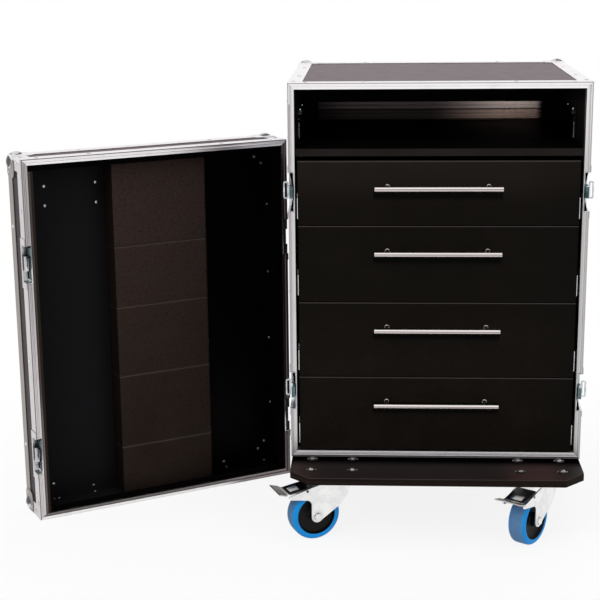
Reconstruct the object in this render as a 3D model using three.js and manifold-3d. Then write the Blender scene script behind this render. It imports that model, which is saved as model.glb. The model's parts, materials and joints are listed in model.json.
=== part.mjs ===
// Road case with four drawers on castors, and its lift-off front lid standing beside it.
// Millimetres, +Z up. X runs to the right and Y away from the drawers' fronts.
import * as THREE from "three";
import { mergeVertices } from "three/addons/utils/BufferGeometryUtils.js";
import Module from "manifold-3d";

const wasm = await Module();
wasm.setup();

// Fits that every piece shares
const seatGap = 0.3; // between pieces that rest on each other
const runningGap = 0.4; // between pieces that slide or turn
const overrun = 6; // how far a cutting tool passes the face that it cuts

// Outer sizes of the case, and the depth of the lid that closes it
const caseWidth = 570;
const caseHeight = 740;
const caseDepth = 480;
const lidDepth = 92;

// Plywood and the aluminium profiles riveted round it
const plyThickness = 9;
const skin = 1.5; // wall of the edge angle and of the closing rim's outer leg
const edgeLeg = 27;
const rimWeb = 5; // thickness of the rim's closing face
const rimInnerWall = 1.2;
const rimInnerLeg = 20;
const grooveWidth = 3.2;
const grooveDepth = 3.5;
const tongueWidth = 2.6;
const tongueHeight = 3;
const tongueBevel = 0.9;

// Ball corners on the rear edges of the case and of the lid
const ballRadius = 20;
const ballStand = 6; // how far the ball stands out of each face
const cornerPlateThickness = 1.3;
const cornerPlateLeg = 44;
const cornerPlateRadius = 12;

// Base board that carries the castors
const boardThickness = 15;
const boardFrontReach = 118; // in front of the case, under the closed lid
const boardSideInset = 2;
const boardChamfer = 38;

// Castors
const castorHeight = 128;
const castorInsetX = 83; // from the case's side to the swivel axis
const castorInsetY = 72; // from the board's front or rear edge to the swivel axis
const plateWidth = 105;
const plateDepth = 82;
const plateThickness = 3;
const plateCornerRadius = 8;
const boltSpacingX = 80;
const boltSpacingY = 60;
const boltRadius = 4;
const washerRadius = 9;
const washerThickness = 1.6;
const boltHeadRadius = 6.2;
const boltHeadHeight = 4.2;
const boltCrownShare = 0.8; // of the head's radius
const boltShoulderShare = 0.7; // of the head's height
const raceRadius = 33;
const raceHeight = 6;
const kingPinRadius = 6;
const kingNutRadius = 10;
const kingNutHeight = 5;
const headRadius = 38;
const headThickness = 4.5;
const headLipHeight = 4.5;
const headLipThickness = 2.5;
const wheelRadius = 50;
const wheelWidth = 36;
const wheelShoulder = 8; // radius of the tyre's rounded edges
const hubRadius = 36;
const hubDish = 8; // how deep each side of the hub is dished
const hubBossRadius = 13;
const axleRadius = 5;
const axleNutRadius = 8;
const axleNutThickness = 4;
const castorTrail = 41;
const cheekThickness = 3;
const cheekClearance = 3; // from the tyre's side to the fork's cheek
const cheekEndRadius = 12;
const pedalThickness = 2.5;
const cheekEndTurn = THREE.MathUtils.degToRad(-41); // where the front edge meets the round end
const pedalPinRadius = 3;
const pedalTipOverhang = 5;

// Shares of the castor's trail along X, and of the wheel's radius up from the floor
const pedalPinShares = [-1.5, 2.1];
const cheekShares = {
  nose: [0.66, 2],
  throatBend: [0.45, 1.55],
  throat: [0.15, 1.35],
  archStart: 1.5,
  archTop: 1.66,
  archReach: 1.7,
  plainTail: [-1.6, 1.84],
  brakeTail: [-2.45, 1.84],
};

// Shares of the trail behind the pedal's pin, and of the pin's radius above it
const pedalShares = {
  heel: [-0.3, 2.6],
  knee: [1, -0.4],
  tip: [1.48, 1.4],
  windowFront: [0.3, 0],
  windowRear: [0.78, 0],
  earFront: [-0.15, -1.3],
  earRear: [0.15, -1.3],
  earEnd: [0.75, -0.4],
};
const pedalWindowShare = 0.62; // of the pedal's width

// Share of a full turn that each castor's fork stands turned
const castorTurnShares = { front_left: 0.0667, front_right: 0.1528, rear_left: 0.1111, rear_right: 0.0333 };

// Butterfly latches and their pressed dishes
const upperLatchDrop = 207; // from the case's top to the latch's middle
const lowerLatchRise = 137; // from the case's underside to the latch's middle
const latchOpening = 76;
const latchFlangeHeight = 101;
const latchFlangeReach = 64;
const latchPanReach = 50;
const latchSheet = 1.2;
const latchRadius = 8;
const keeperFlangeReach = 35;
const keeperPanReach = 24;
const keeperBarWidth = 30;
const keeperBarThickness = 2;
const hookWidth = 22;
const hookThickness = 1.8;
const hookReach = 8; // how far the open hook stands in front of the rim
const hookLip = 5;
const hookSlack = 1; // free play of the crank pin in the hook's slot
const latchAxisReach = 25; // from the rim's face to the cam's axis
const camShaftRadius = 3;
const camRadius = 13;
const camThickness = 2;
const crankReach = 4.5; // from the cam's axis to the pin that moves the hook
const crankPinRadius = 1.8;
const wingSpan = 34;
const wingStand = 11; // how far the raised wing stands out of the case's side
const wingThickness = 2.4;
const wingMargin = 3; // width of the wing round its eye
const wingBarrelRadius = 2.2;
const wingBarrelLength = 16;
const wingPinRadius = 1.2;
const earHalfDepth = 2.4; // ears that carry the wing on the cam
const earRise = 2; // from the wing's pin to the ears' tops
const earThickness = 2;

// Recessed side handles
const handleDrop = 120; // from the case's top to the dish's middle
const handleFlangeWidth = 190;
const handleFlangeHeight = 128;
const handlePanWidth = 160;
const handlePanHeight = 104;
const handlePanDepth = 19;
const handleSheet = 1.5;
const handleRadius = 14;
const bailHalfWidth = 44;
const bailArm = 56;
const bailRod = 3.5; // radius of the arms' wire
const gripRadius = 7;
const gripLength = 78;
const gripEndShare = 0.8; // of the grip's radius
const bailPivotDrop = 14; // from the pan's upper edge to the hinge pin

// Inside of the case
const shelfThickness = 14;
const shelfDrop = 125; // from the case's top to the shelf's upper face
const linerThickness = 3;
const runnerHeight = 45;
const runnerDepth = 9.5;
const runnerWall = 1.5;
const runnerSetback = 46; // from the rim's face to the runner's front end
const runnerRearGap = 23.2; // from the runner's rear end to the rear panel
const railWidth = 490;
const railHeight = 40;
const railDepth = 10;
const railGroove = 4;
const railFineGrooveShares = [0.18, 0.38, 0.82]; // of the rail's height
const railDeepGrooveShare = 0.58;

// Drawers, from the top one down
const drawerHeightShares = [0.2158, 0.2614, 0.2614, 0.2614]; // of the room for the fronts
const drawerSpacing = 2.2;
const drawerTopGap = 9.9; // from the top drawer to the shelf
const drawerSideGap = 5; // from the drawer's front to the rim
const drawerSetback = 6; // from the rim's face to the drawer's front
const drawerFrontThickness = 12;
const drawerPly = 9;
const drawerFloorPly = 6;
const drawerRearGap = 51.2; // from the drawer's box to the rear panel
const drawerBoxDrop = 18; // from the front's upper edge to the box's
const drawerFloorRise = 6;
const runnerRise = 10; // from the front's lower edge to the runner
const barLength = 242;
const barRadius = 5;
const barPostSpacing = 192;
const barPostRadius = 4;
const barStand = 35; // from the drawer's front to the bar's axis
const barDrop = 48; // from the drawer's upper edge to the bar's axis

// Foam column glued into the lid, slit where the bar handles press into it
const foamLeft = 193; // from the lid's left side
const foamWidth = 204;
const foamFront = 33; // from the rim's face
const foamSlit = 2;
const foamSlitDepth = 40;

// Where the lid stands: its near corner beside the case and behind the case's front
const lidGap = 20.4;
const lidSetback = 284.7;
const lidTurn = THREE.MathUtils.degToRad(30.2);

// Facets round the turned pieces
const ballSegments = 8;
const wheelSegments = 16;
const headSegments = 12;
const barSegments = 8;
const rodSegments = 6;
const shoulderSteps = 2;

// Derived places
const plySeat = skin + seatGap; // from an outer face to the plywood under it
const plyInset = plySeat + plyThickness;
const rimFace = plyInset + seatGap + rimInnerWall;
const halfWidth = caseWidth / 2;
const boardTop = castorHeight + boardThickness;
const caseBase = boardTop + seatGap;
const caseTop = caseBase + caseHeight;
const panelFront = rimWeb + seatGap;
const boardRear = caseDepth;
const hookTravel = 2 * crankReach;
const latchHeights = { upper: caseHeight - upperLatchDrop, lower: lowerLatchRise };
const panelRear = caseDepth - plySeat - plyThickness;

// Finishes
function finish(color, roughness, metalness) {
  return new THREE.MeshStandardMaterial({ color, roughness, metalness });
}

const laminate = finish(0x54454b, 0.55, 0);
const aluminium = finish(0xd9d9dc, 0.35, 0.9);
const blackPly = finish(0x1c1817, 0.6, 0);
const filmPly = finish(0x2a2020, 0.45, 0);
const zinc = finish(0xc9ccd0, 0.3, 0.9);
const steelBar = finish(0xb9aea8, 0.3, 1);
const tyreBlue = finish(0x1f8fdc, 0.6, 0);
const gripBlack = finish(0x141414, 0.5, 0);
const foamGrey = finish(0x3a322d, 0.95, 0);

// Solids
const axisX = new THREE.Vector3(1, 0, 0);
const axisY = new THREE.Vector3(0, 1, 0);
const axisZ = new THREE.Vector3(0, 0, 1);

// A three.js geometry as a closed solid whose faces point out
function solid(geometry) {
  geometry.deleteAttribute("normal");
  geometry.deleteAttribute("uv");
  const merged = mergeVertices(geometry.index ? geometry.toNonIndexed() : geometry);
  const vertProperties = new Float32Array(merged.attributes.position.array);
  const triVerts = new Uint32Array(merged.index.array);
  const made = new wasm.Manifold(new wasm.Mesh({ numProp: 3, vertProperties, triVerts }));
  if (made.volume() > 0) return made;
  for (let i = 0; i < triVerts.length; i += 3) {
    [triVerts[i + 1], triVerts[i + 2]] = [triVerts[i + 2], triVerts[i + 1]];
  }
  return new wasm.Manifold(new wasm.Mesh({ numProp: 3, vertProperties, triVerts }));
}

const join = (first, ...rest) => rest.reduce((whole, piece) => whole.add(piece), first);
const cut = (body, ...tools) => tools.reduce((whole, tool) => whole.subtract(tool), body);

const grow = ([low, high], by) => [low - by, high + by];
const ordered = (values) => [...values].sort((a, b) => a - b);

// A block between two values on each axis, given in either order
function block([x0, x1], [y0, y1], [z0, z1]) {
  const box = new THREE.BoxGeometry(Math.abs(x1 - x0), Math.abs(y1 - y0), Math.abs(z1 - z0));
  return solid(box.translate((x0 + x1) / 2, (y0 + y1) / 2, (z0 + z1) / 2));
}

// A shape drawn across two axes and extruded along the third, between two values
function prismX(shape, [x0, x1], curveSegments = 2) {
  const low = Math.min(x0, x1);
  const depth = Math.abs(x1 - x0);
  const body = new THREE.ExtrudeGeometry(shape, { depth, bevelEnabled: false, curveSegments });
  body.applyMatrix4(new THREE.Matrix4().makeBasis(axisY, axisZ, axisX));
  return solid(body.translate(low, 0, 0));
}

function prismY(shape, [y0, y1], curveSegments = 2) {
  const body = new THREE.ExtrudeGeometry(shape, { depth: y1 - y0, bevelEnabled: false, curveSegments });
  return solid(body.rotateX(Math.PI / 2).translate(0, y1, 0));
}

function prismZ(shape, [z0, z1], curveSegments = 2) {
  const body = new THREE.ExtrudeGeometry(shape, { depth: z1 - z0, bevelEnabled: false, curveSegments });
  return solid(body.translate(0, 0, z0));
}

// A profile of [radius, height] points turned about an axis through a point
function turned(profile, axis, [x, y, z], segments) {
  const points = profile.map(([radius, height]) => new THREE.Vector2(radius, height));
  const body = new THREE.LatheGeometry(points, segments);
  body.applyQuaternion(new THREE.Quaternion().setFromUnitVectors(axisY, axis));
  return solid(body.translate(x, y, z));
}

// A round bar of one radius between two heights along an axis
function rod(radius, [from, to], axis, place, segments = rodSegments) {
  return turned([[0, from], [radius, from], [radius, to], [0, to]], axis, place, segments);
}

function rectangle([x0, x1], [y0, y1]) {
  const shape = new THREE.Shape();
  shape.moveTo(x0, y0);
  shape.lineTo(x1, y0);
  shape.lineTo(x1, y1);
  shape.lineTo(x0, y1);
  shape.closePath();
  return shape;
}

function roundedRectangle([x0, x1], [y0, y1], radius) {
  const shape = new THREE.Shape();
  shape.moveTo(x0 + radius, y0);
  shape.lineTo(x1 - radius, y0);
  shape.absarc(x1 - radius, y0 + radius, radius, -Math.PI / 2, 0);
  shape.lineTo(x1, y1 - radius);
  shape.absarc(x1 - radius, y1 - radius, radius, 0, Math.PI / 2);
  shape.lineTo(x0 + radius, y1);
  shape.absarc(x0 + radius, y1 - radius, radius, Math.PI / 2, Math.PI);
  shape.lineTo(x0, y0 + radius);
  shape.absarc(x0 + radius, y0 + radius, radius, Math.PI, Math.PI * 1.5);
  return shape;
}

// A rectangular ring that follows a box's outline between two insets from its faces
function ring(box, [outerInset, innerInset], depths) {
  const [x0, x1] = box.x;
  const [z0, z1] = box.z;
  const outline = rectangle([x0 + outerInset, x1 - outerInset], [z0 + outerInset, z1 - outerInset]);
  outline.holes.push(rectangle([x0 + innerInset, x1 - innerInset], [z0 + innerInset, z1 - innerInset]));
  return prismY(outline, depths);
}

const part = new THREE.Group();
const caseGroup = new THREE.Group();
const lidGroup = new THREE.Group();
part.add(caseGroup, lidGroup);

function add(name, body, material, group = caseGroup) {
  const { vertProperties, triVerts } = body.getMesh();
  const geometry = new THREE.BufferGeometry();
  geometry.setAttribute("position", new THREE.BufferAttribute(new Float32Array(vertProperties), 3));
  geometry.setIndex(new THREE.BufferAttribute(new Uint32Array(triVerts), 1));
  geometry.computeVertexNormals();
  const mesh = new THREE.Mesh(geometry, material);
  mesh.name = name;
  group.add(mesh);
}

const caseBox = { x: [-halfWidth, halfWidth], z: [caseBase, caseTop], depth: caseDepth };
const lidBox = { x: [0, caseWidth], z: [0, caseHeight], depth: lidDepth };
const sides = { left: -1, right: 1 };

// Closing rim: an outer leg over the plywood, a closing face, and an inner leg behind it
function closingRim(box) {
  const outerLeg = ring(box, [0, skin], [0, edgeLeg]);
  const face = ring(box, [0, rimFace], [0, rimWeb]);
  const innerLeg = ring(box, [rimFace - rimInnerWall, rimFace], [0, rimInnerLeg]);
  return join(outerLeg, face, innerLeg);
}

// Groove in the case's rim, and the bevelled tongue on the lid's rim that enters it
function rimGroove(box) {
  const middle = rimFace / 2;
  return ring(box, [middle - grooveWidth / 2, middle + grooveWidth / 2], [-overrun, grooveDepth]);
}

function rimTongue(box) {
  const [x0, x1] = box.x;
  const [z0, z1] = box.z;
  const outer = (rimFace - tongueWidth) / 2 + tongueBevel;
  const inner = (rimFace + tongueWidth) / 2 - tongueBevel;
  const outline = rectangle([x0 + outer, x1 - outer], [z0 + outer, z1 - outer]);
  outline.holes.push(rectangle([x0 + inner, x1 - inner], [z0 + inner, z1 - inner]));
  const body = new THREE.ExtrudeGeometry(outline, {
    depth: tongueHeight,
    bevelThickness: tongueBevel,
    bevelSize: tongueBevel,
    bevelSegments: 1,
  });
  return solid(body.rotateX(Math.PI / 2).translate(0, tongueBevel, 0));
}

// One ball corner: a ball sunk into the corner and a rounded plate on each of its three faces
function ballCorner(box, atRight, atTop) {
  const x = box.x[atRight ? 1 : 0];
  const z = box.z[atTop ? 1 : 0];
  const inX = atRight ? -1 : 1;
  const inZ = atTop ? -1 : 1;
  const sunk = ballRadius - ballStand;
  const ball = new THREE.SphereGeometry(ballRadius, ballSegments, ballSegments / 2);
  const centre = [x + inX * sunk, box.depth - sunk, z + inZ * sunk];
  const stand = cornerPlateThickness;
  const spanX = ordered([x - inX * stand, x + inX * cornerPlateLeg]);
  const spanZ = ordered([z - inZ * stand, z + inZ * cornerPlateLeg]);
  const spanY = [box.depth - cornerPlateLeg, box.depth + stand];
  const round = cornerPlateRadius;
  return join(
    solid(ball.translate(...centre)),
    prismY(roundedRectangle(spanX, spanZ, round), [box.depth - skin, box.depth + stand], 1),
    prismX(roundedRectangle(spanY, spanZ, round), [x + inX * skin, x - inX * stand], 1),
    prismZ(roundedRectangle(spanX, spanY, round), ordered([z + inZ * skin, z - inZ * stand]), 1),
  );
}

// Edge angles: a ring round the rear edges, an angle along each corner, and the four ball corners
function edgeFrame(box) {
  const [x0, x1] = box.x;
  const [z0, z1] = box.z;
  const front = edgeLeg + seatGap;
  const wholeBox = block(box.x, [front, box.depth], box.z);
  const corners = [];
  const balls = [];
  for (const atRight of [false, true]) {
    for (const atTop of [false, true]) {
      const spanX = atRight ? [x1 - edgeLeg, x1] : [x0, x0 + edgeLeg];
      const spanZ = atTop ? [z1 - edgeLeg, z1] : [z0, z0 + edgeLeg];
      corners.push(block(spanX, [front, box.depth], spanZ));
      balls.push(ballCorner(box, atRight, atTop));
    }
  }
  const rear = ring(box, [0, edgeLeg], [box.depth - edgeLeg, box.depth]);
  const hollow = block([x0 + skin, x1 - skin], [-overrun, box.depth - skin], [z0 + skin, z1 - skin]);
  const angles = join(rear, ...corners).intersect(wholeBox);
  const under = block(grow(box.x, ballRadius), [-overrun, box.depth + ballRadius], [z0 - ballRadius, z0]);
  const ahead = block(grow(box.x, ballRadius), [-overrun, front], grow(box.z, ballRadius));
  return cut(join(angles, ...balls), hollow, under, ahead);
}

// The room that a latch's or a keeper's pan takes in a side wall, from the rim's face backwards,
// as deep as the plywood but short of the rim's inner leg
function panRoom(side, faceX, reach, middleZ) {
  const outline = roundedRectangle(
    [-latchRadius - overrun, reach + seatGap],
    grow([middleZ, middleZ], latchOpening / 2 + seatGap),
    latchRadius,
  );
  const depth = plyInset + seatGap / 2;
  return prismX(outline, [faceX - side * depth, faceX + side * overrun], 1);
}

// A pressed dish let into a side wall: a pan open to the front, and a flange that steps off the rim
function pressedDish(side, faceX, flangeReach, panReach, middleZ) {
  const onRim = [faceX + side * seatGap, faceX + side * (seatGap + latchSheet)];
  const onPly = onRim.map((value) => value - side * plySeat);
  const halfFlange = latchFlangeHeight / 2;
  const span = [middleZ - halfFlange, middleZ + halfFlange];
  const step = edgeLeg + seatGap;
  const flangeOutline = roundedRectangle([-latchRadius - overrun, flangeReach], span, latchRadius);
  const flangeRoom = prismX(flangeOutline, [faceX - side * overrun, faceX + side * overrun], 1);
  const sheets = join(
    block(onRim, [0, step + latchSheet], span),
    block([onPly[0], onRim[1]], [step, step + latchSheet], span),
    block(onPly, [step, flangeReach], span),
  );
  const halfOpening = latchOpening / 2;
  const panSpan = [middleZ - halfOpening, middleZ + halfOpening];
  const panOutline = roundedRectangle([-latchRadius - overrun, panReach], panSpan, latchRadius);
  const pan = prismX(panOutline, [faceX - side * plyInset, onRim[1]], 1);
  const inner = roundedRectangle(
    [-latchRadius - overrun, panReach - latchSheet],
    [panSpan[0] + latchSheet, panSpan[1] - latchSheet],
    latchRadius - latchSheet,
  );
  const hollow = prismX(inner, [faceX - side * (plyInset - latchSheet), faceX + side * overrun], 1);
  const ahead = block([faceX - side * caseWidth, faceX + side * caseWidth], [-caseWidth, 0], span);
  return cut(join(sheets.intersect(flangeRoom), pan), hollow, ahead);
}

// Outside shell of the case
const latchMiddles = Object.fromEntries(
  Object.entries(latchHeights).map(([level, height]) => [level, caseBase + height]),
);
const handleMiddle = caseTop - handleDrop;
const handleSpanY = [caseDepth / 2 - handlePanWidth / 2, caseDepth / 2 + handlePanWidth / 2];
const handleSpanZ = [handleMiddle - handlePanHeight / 2, handleMiddle + handlePanHeight / 2];

function handleRoom(side) {
  const outline = roundedRectangle(grow(handleSpanY, seatGap), grow(handleSpanZ, seatGap), handleRadius);
  return prismX(outline, [side * (halfWidth - handlePanDepth - seatGap), side * (halfWidth + overrun)]);
}

function sidePanel(side) {
  const sheet = block(
    [side * (halfWidth - plyInset), side * (halfWidth - plySeat)],
    [panelFront, caseDepth - plySeat],
    grow(caseBox.z, -plySeat),
  );
  const rooms = Object.values(latchMiddles).map((z) => panRoom(side, side * halfWidth, latchPanReach, z));
  return cut(sheet, ...rooms, handleRoom(side));
}

const betweenSides = [-(halfWidth - plyInset - seatGap), halfWidth - plyInset - seatGap];
add("case_left_panel", sidePanel(sides.left), laminate);
add("case_right_panel", sidePanel(sides.right), laminate);
add(
  "case_top_panel",
  block(betweenSides, [panelFront, panelRear - seatGap], [caseTop - plyInset, caseTop - plySeat]),
  laminate,
);
add(
  "case_bottom_panel",
  block(betweenSides, [panelFront, panelRear - seatGap], [caseBase + plySeat, caseBase + plyInset]),
  laminate,
);
add(
  "case_rear_panel",
  block(betweenSides, [panelRear, caseDepth - plySeat], grow(caseBox.z, -plySeat)),
  laminate,
);

// The rim is notched at each latch down to its inner leg, which runs through
function rimNotches(box, middles, reach) {
  const notches = [];
  for (const [name, side] of Object.entries(sides)) {
    const faceX = box.x[name === "left" ? 0 : 1];
    for (const middle of middles) notches.push(panRoom(side, faceX, reach, middle));
  }
  return notches;
}

const latchNotches = rimNotches(caseBox, Object.values(latchMiddles), latchPanReach);
add("case_front_rim", cut(closingRim(caseBox), rimGroove(caseBox), ...latchNotches), aluminium);
add("case_edge_frame", edgeFrame(caseBox), aluminium);

// Latches: a pressed dish, a hook that slides in it, a cam whose crank pin drives the hook,
// and a wing that folds up from the cam to turn it
const hookFrom = halfWidth - plyInset + latchSheet + seatGap;
const hookTo = hookFrom + hookThickness;
const camFrom = hookTo + seatGap;
const camTo = camFrom + camThickness;
const wingPivot = camTo + wingBarrelRadius + runningGap;

// The cam's shaft runs in the long slot and its crank pin in the cross slot
function latchHook(side, middle) {
  const span = grow([middle, middle], hookWidth / 2);
  const shaftRoom = camShaftRadius + runningGap;
  const crankRoom = crankPinRadius + runningGap;
  const rear = latchAxisReach + shaftRoom + hookThickness * 2;
  const strip = block([side * hookFrom, side * hookTo], [-hookReach, rear], span);
  const lipDepth = [-hookReach, -hookReach + hookThickness];
  const lip = block([side * hookFrom, side * (hookTo + hookLip)], lipDepth, span);
  const shaftSlot = roundedRectangle(
    [latchAxisReach - hookTravel - shaftRoom, latchAxisReach + shaftRoom],
    grow([middle, middle], shaftRoom),
    shaftRoom - runningGap,
  );
  const crankSlot = roundedRectangle(
    grow([latchAxisReach - crankReach, latchAxisReach - crankReach], crankRoom + hookSlack),
    grow([middle, middle], crankReach + crankRoom),
    crankRoom,
  );
  const through = [side * (hookFrom - overrun), side * (hookTo + overrun)];
  return cut(join(strip, lip), prismX(shaftSlot, through, 1), prismX(crankSlot, through, 1));
}

function latchCam(side, middle) {
  const along = axisX.clone().multiplyScalar(side);
  const disc = turned(
    [
      [0, hookFrom],
      [camShaftRadius, hookFrom],
      [camShaftRadius, camFrom],
      [camRadius, camFrom],
      [camRadius, camTo],
      [0, camTo],
    ],
    along,
    [0, latchAxisReach, middle],
    barSegments,
  );
  const inDisc = camFrom + camThickness / 2;
  const crank = rod(crankPinRadius, [hookFrom, inDisc], along, [0, latchAxisReach - crankReach, middle]);
  const ears = [-1, 1].map((end) => {
    const inner = middle + end * (wingBarrelLength / 2 + runningGap);
    return block(
      [side * inDisc, side * (wingPivot + earRise)],
      grow([latchAxisReach, latchAxisReach], earHalfDepth),
      [inner, inner + end * earThickness],
    );
  });
  const pinRoom = rod(
    wingPinRadius + runningGap,
    grow([middle, middle], wingBarrelLength + earThickness),
    axisZ,
    [side * wingPivot, latchAxisReach, 0],
  );
  return join(disc, crank, ...ears.map((ear) => cut(ear, pinRoom)));
}

// Raised, the wing's wide plate clears the ears by as much as it needs to fold down past them
function latchWing(side, middle) {
  const pivot = [side * wingPivot, latchAxisReach, 0];
  const halfBarrel = wingBarrelLength / 2;
  const barrel = rod(wingBarrelRadius, grow([middle, middle], halfBarrel), axisZ, pivot);
  const halfPin = halfBarrel + runningGap + earThickness;
  const pin = rod(wingPinRadius, grow([middle, middle], halfPin), axisZ, pivot);
  const shoulder = wingPivot + Math.hypot(earHalfDepth, earRise) + runningGap;
  const spanX = ordered([side * shoulder, side * (halfWidth + wingStand)]);
  const spanZ = grow([middle, middle], wingSpan / 2);
  const leaf = roundedRectangle(spanX, spanZ, wingMargin);
  leaf.holes.push(roundedRectangle(grow(spanX, -wingMargin), grow(spanZ, -wingMargin), wingMargin / 2));
  const depths = grow([latchAxisReach, latchAxisReach], wingThickness / 2);
  const rootSpan = [side * wingPivot, side * (shoulder + wingMargin / 2)];
  const root = block(rootSpan, depths, grow([middle, middle], halfBarrel));
  return join(barrel, pin, root, prismY(leaf, depths, 1));
}

for (const [name, side] of Object.entries(sides)) {
  for (const [level, middle] of Object.entries(latchMiddles)) {
    const dish = pressedDish(side, side * halfWidth, latchFlangeReach, latchPanReach, middle);
    add(`latch_dish_${level}_${name}`, dish, zinc);
    add(`latch_hook_${level}_${name}`, latchHook(side, middle), zinc);
    add(`latch_cam_${level}_${name}`, latchCam(side, middle), zinc);
    add(`latch_wing_${level}_${name}`, latchWing(side, middle), zinc);
  }
}

// Side handles: a deep pressed dish and a sprung bail with a round grip
const bailPivotZ = handleSpanZ[1] - bailPivotDrop;
const bailPlane = halfWidth - handlePanDepth + handleSheet + gripRadius + seatGap;

function handleDish(side) {
  const flange = roundedRectangle(
    grow([caseDepth / 2, caseDepth / 2], handleFlangeWidth / 2),
    grow([handleMiddle, handleMiddle], handleFlangeHeight / 2),
    handleRadius,
  );
  const outer = halfWidth - plySeat + seatGap;
  const sheet = prismX(flange, [side * outer, side * (outer + handleSheet)], 1);
  const pan = roundedRectangle(handleSpanY, handleSpanZ, handleRadius);
  const shell = prismX(pan, [side * (halfWidth - handlePanDepth), side * (outer + handleSheet)]);
  const inner = roundedRectangle(
    grow(handleSpanY, -handleSheet),
    grow(handleSpanZ, -handleSheet),
    handleRadius - handleSheet,
  );
  const panFloor = halfWidth - handlePanDepth + handleSheet;
  const hollow = prismX(inner, [side * panFloor, side * (halfWidth + overrun)]);
  const pinHoleY = bailHalfWidth + bailRod;
  const ears = [-1, 1].map((end) =>
    block(
      [side * (halfWidth - handlePanDepth), side * (bailPlane + bailRod + handleSheet)],
      [
        caseDepth / 2 + end * (pinHoleY + runningGap),
        caseDepth / 2 + end * (pinHoleY + runningGap + 2 * handleSheet),
      ],
      grow([bailPivotZ, bailPivotZ], bailRod + handleSheet),
    ),
  );
  const pinRoom = rod(
    bailRod / 2 + runningGap,
    grow([0, 0], pinHoleY + bailRod * 2),
    axisY,
    [side * bailPlane, caseDepth / 2, bailPivotZ],
  );
  return cut(join(cut(join(sheet, shell), hollow), ...ears), pinRoom);
}

// The bail hangs from its pins: two arms, a grip between them, and a pin at each arm's head
function handleBail(side) {
  const middleY = caseDepth / 2;
  const x = side * bailPlane;
  const gripZ = bailPivotZ - bailArm;
  const arms = [-1, 1].map((end) =>
    rod(bailRod, [gripZ, bailPivotZ + bailRod], axisZ, [x, middleY + end * bailHalfWidth, 0]),
  );
  const wire = rod(bailRod, grow([0, 0], bailHalfWidth + bailRod), axisY, [x, middleY, gripZ]);
  const grip = turned(
    [
      [0, -gripLength / 2],
      [gripRadius * gripEndShare, -gripLength / 2],
      [gripRadius, -gripLength / 2 + gripRadius / 2],
      [gripRadius, gripLength / 2 - gripRadius / 2],
      [gripRadius * gripEndShare, gripLength / 2],
      [0, gripLength / 2],
    ],
    axisY,
    [x, middleY, gripZ],
    barSegments,
  );
  const pinReach = bailHalfWidth + bailRod + runningGap + 2 * handleSheet;
  const pins = [-1, 1].map((end) =>
    rod(bailRod / 2, ordered([end * bailHalfWidth, end * pinReach]), axisY, [x, middleY, bailPivotZ]),
  );
  return join(...arms, wire, grip, ...pins);
}

for (const [name, side] of Object.entries(sides)) {
  add(`handle_dish_${name}`, handleDish(side), zinc);
  add(`handle_bail_${name}`, handleBail(side), gripBlack);
}

// Inside: liners that carry the fixed runners and the shelf, and a grooved rail on the rear wall
const linerOuter = halfWidth - plyInset - seatGap;
const linerInner = linerOuter - linerThickness;
const shelfTop = caseTop - shelfDrop;
const shelfBase = shelfTop - shelfThickness;
const drawerCount = drawerHeightShares.length;
const drawerRoom = shelfBase - drawerTopGap - (caseBase + rimFace) - drawerCount * drawerSpacing;
const drawerTops = [];
const drawerBases = [];
let nextBase = caseBase + rimFace + drawerSpacing;
for (const share of [...drawerHeightShares].reverse()) {
  drawerBases.unshift(nextBase);
  drawerTops.unshift(nextBase + drawerRoom * share);
  nextBase = drawerTops[0] + drawerSpacing;
}
const runnerMiddles = drawerBases.map((base) => base + runnerRise + runnerHeight / 2);
const runnerSpan = [runnerSetback, panelRear - runnerRearGap];

function runnerLiner(side) {
  const board = block(
    [side * linerInner, side * linerOuter],
    [runnerSetback, panelRear - seatGap],
    [caseBase + plyInset + seatGap, shelfBase - seatGap],
  );
  const inward = linerInner - runnerDepth;
  const channels = runnerMiddles.map((middle) => {
    const half = runnerHeight / 2;
    const bar = block([side * inward, side * linerOuter], runnerSpan, [middle - half, middle + half]);
    const hollow = block(
      [side * (inward - overrun), side * (linerInner - runnerWall)],
      [runnerSetback - overrun, runnerSpan[1] + overrun],
      [middle - half + runnerWall, middle + half - runnerWall],
    );
    return cut(bar, hollow);
  });
  return cut(join(board, ...channels), handleRoom(side));
}

add("runner_liner_left", runnerLiner(sides.left), blackPly);
add("runner_liner_right", runnerLiner(sides.right), blackPly);

const shelfHalf = halfWidth - rimFace - seatGap;
const shelf = block([-shelfHalf, shelfHalf], [panelFront, panelRear - seatGap], [shelfBase, shelfTop]);
add("top_shelf", cut(shelf, handleRoom(sides.left), handleRoom(sides.right)), blackPly);

// The rail's section: two bands of ridges with a deep groove between them
function rearRail() {
  const y1 = panelRear - seatGap;
  const y0 = y1 - railDepth;
  const z0 = shelfTop + seatGap;
  const bar = block([-railWidth / 2, railWidth / 2], [y0, y1], [z0, z0 + railHeight]);
  const groove = (share, width) => {
    const middle = z0 + railHeight * share;
    return block([-railWidth, railWidth], [y0 - overrun, y0 + railGroove], grow([middle, middle], width / 2));
  };
  const fine = railFineGrooveShares.map((share) => groove(share, railGroove / 2));
  return cut(bar, groove(railDeepGrooveShare, railGroove), ...fine);
}

add("rear_rail", rearRail(), aluminium);

// Drawers: a plywood box behind a front, with the moving runner on each side, and a bar handle
const frontHalf = halfWidth - rimFace - drawerSideGap;
const boxHalf = linerInner - runnerDepth - runningGap;
const boxFront = drawerSetback + drawerFrontThickness;
const boxSpan = [boxFront, panelRear - drawerRearGap];

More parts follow.
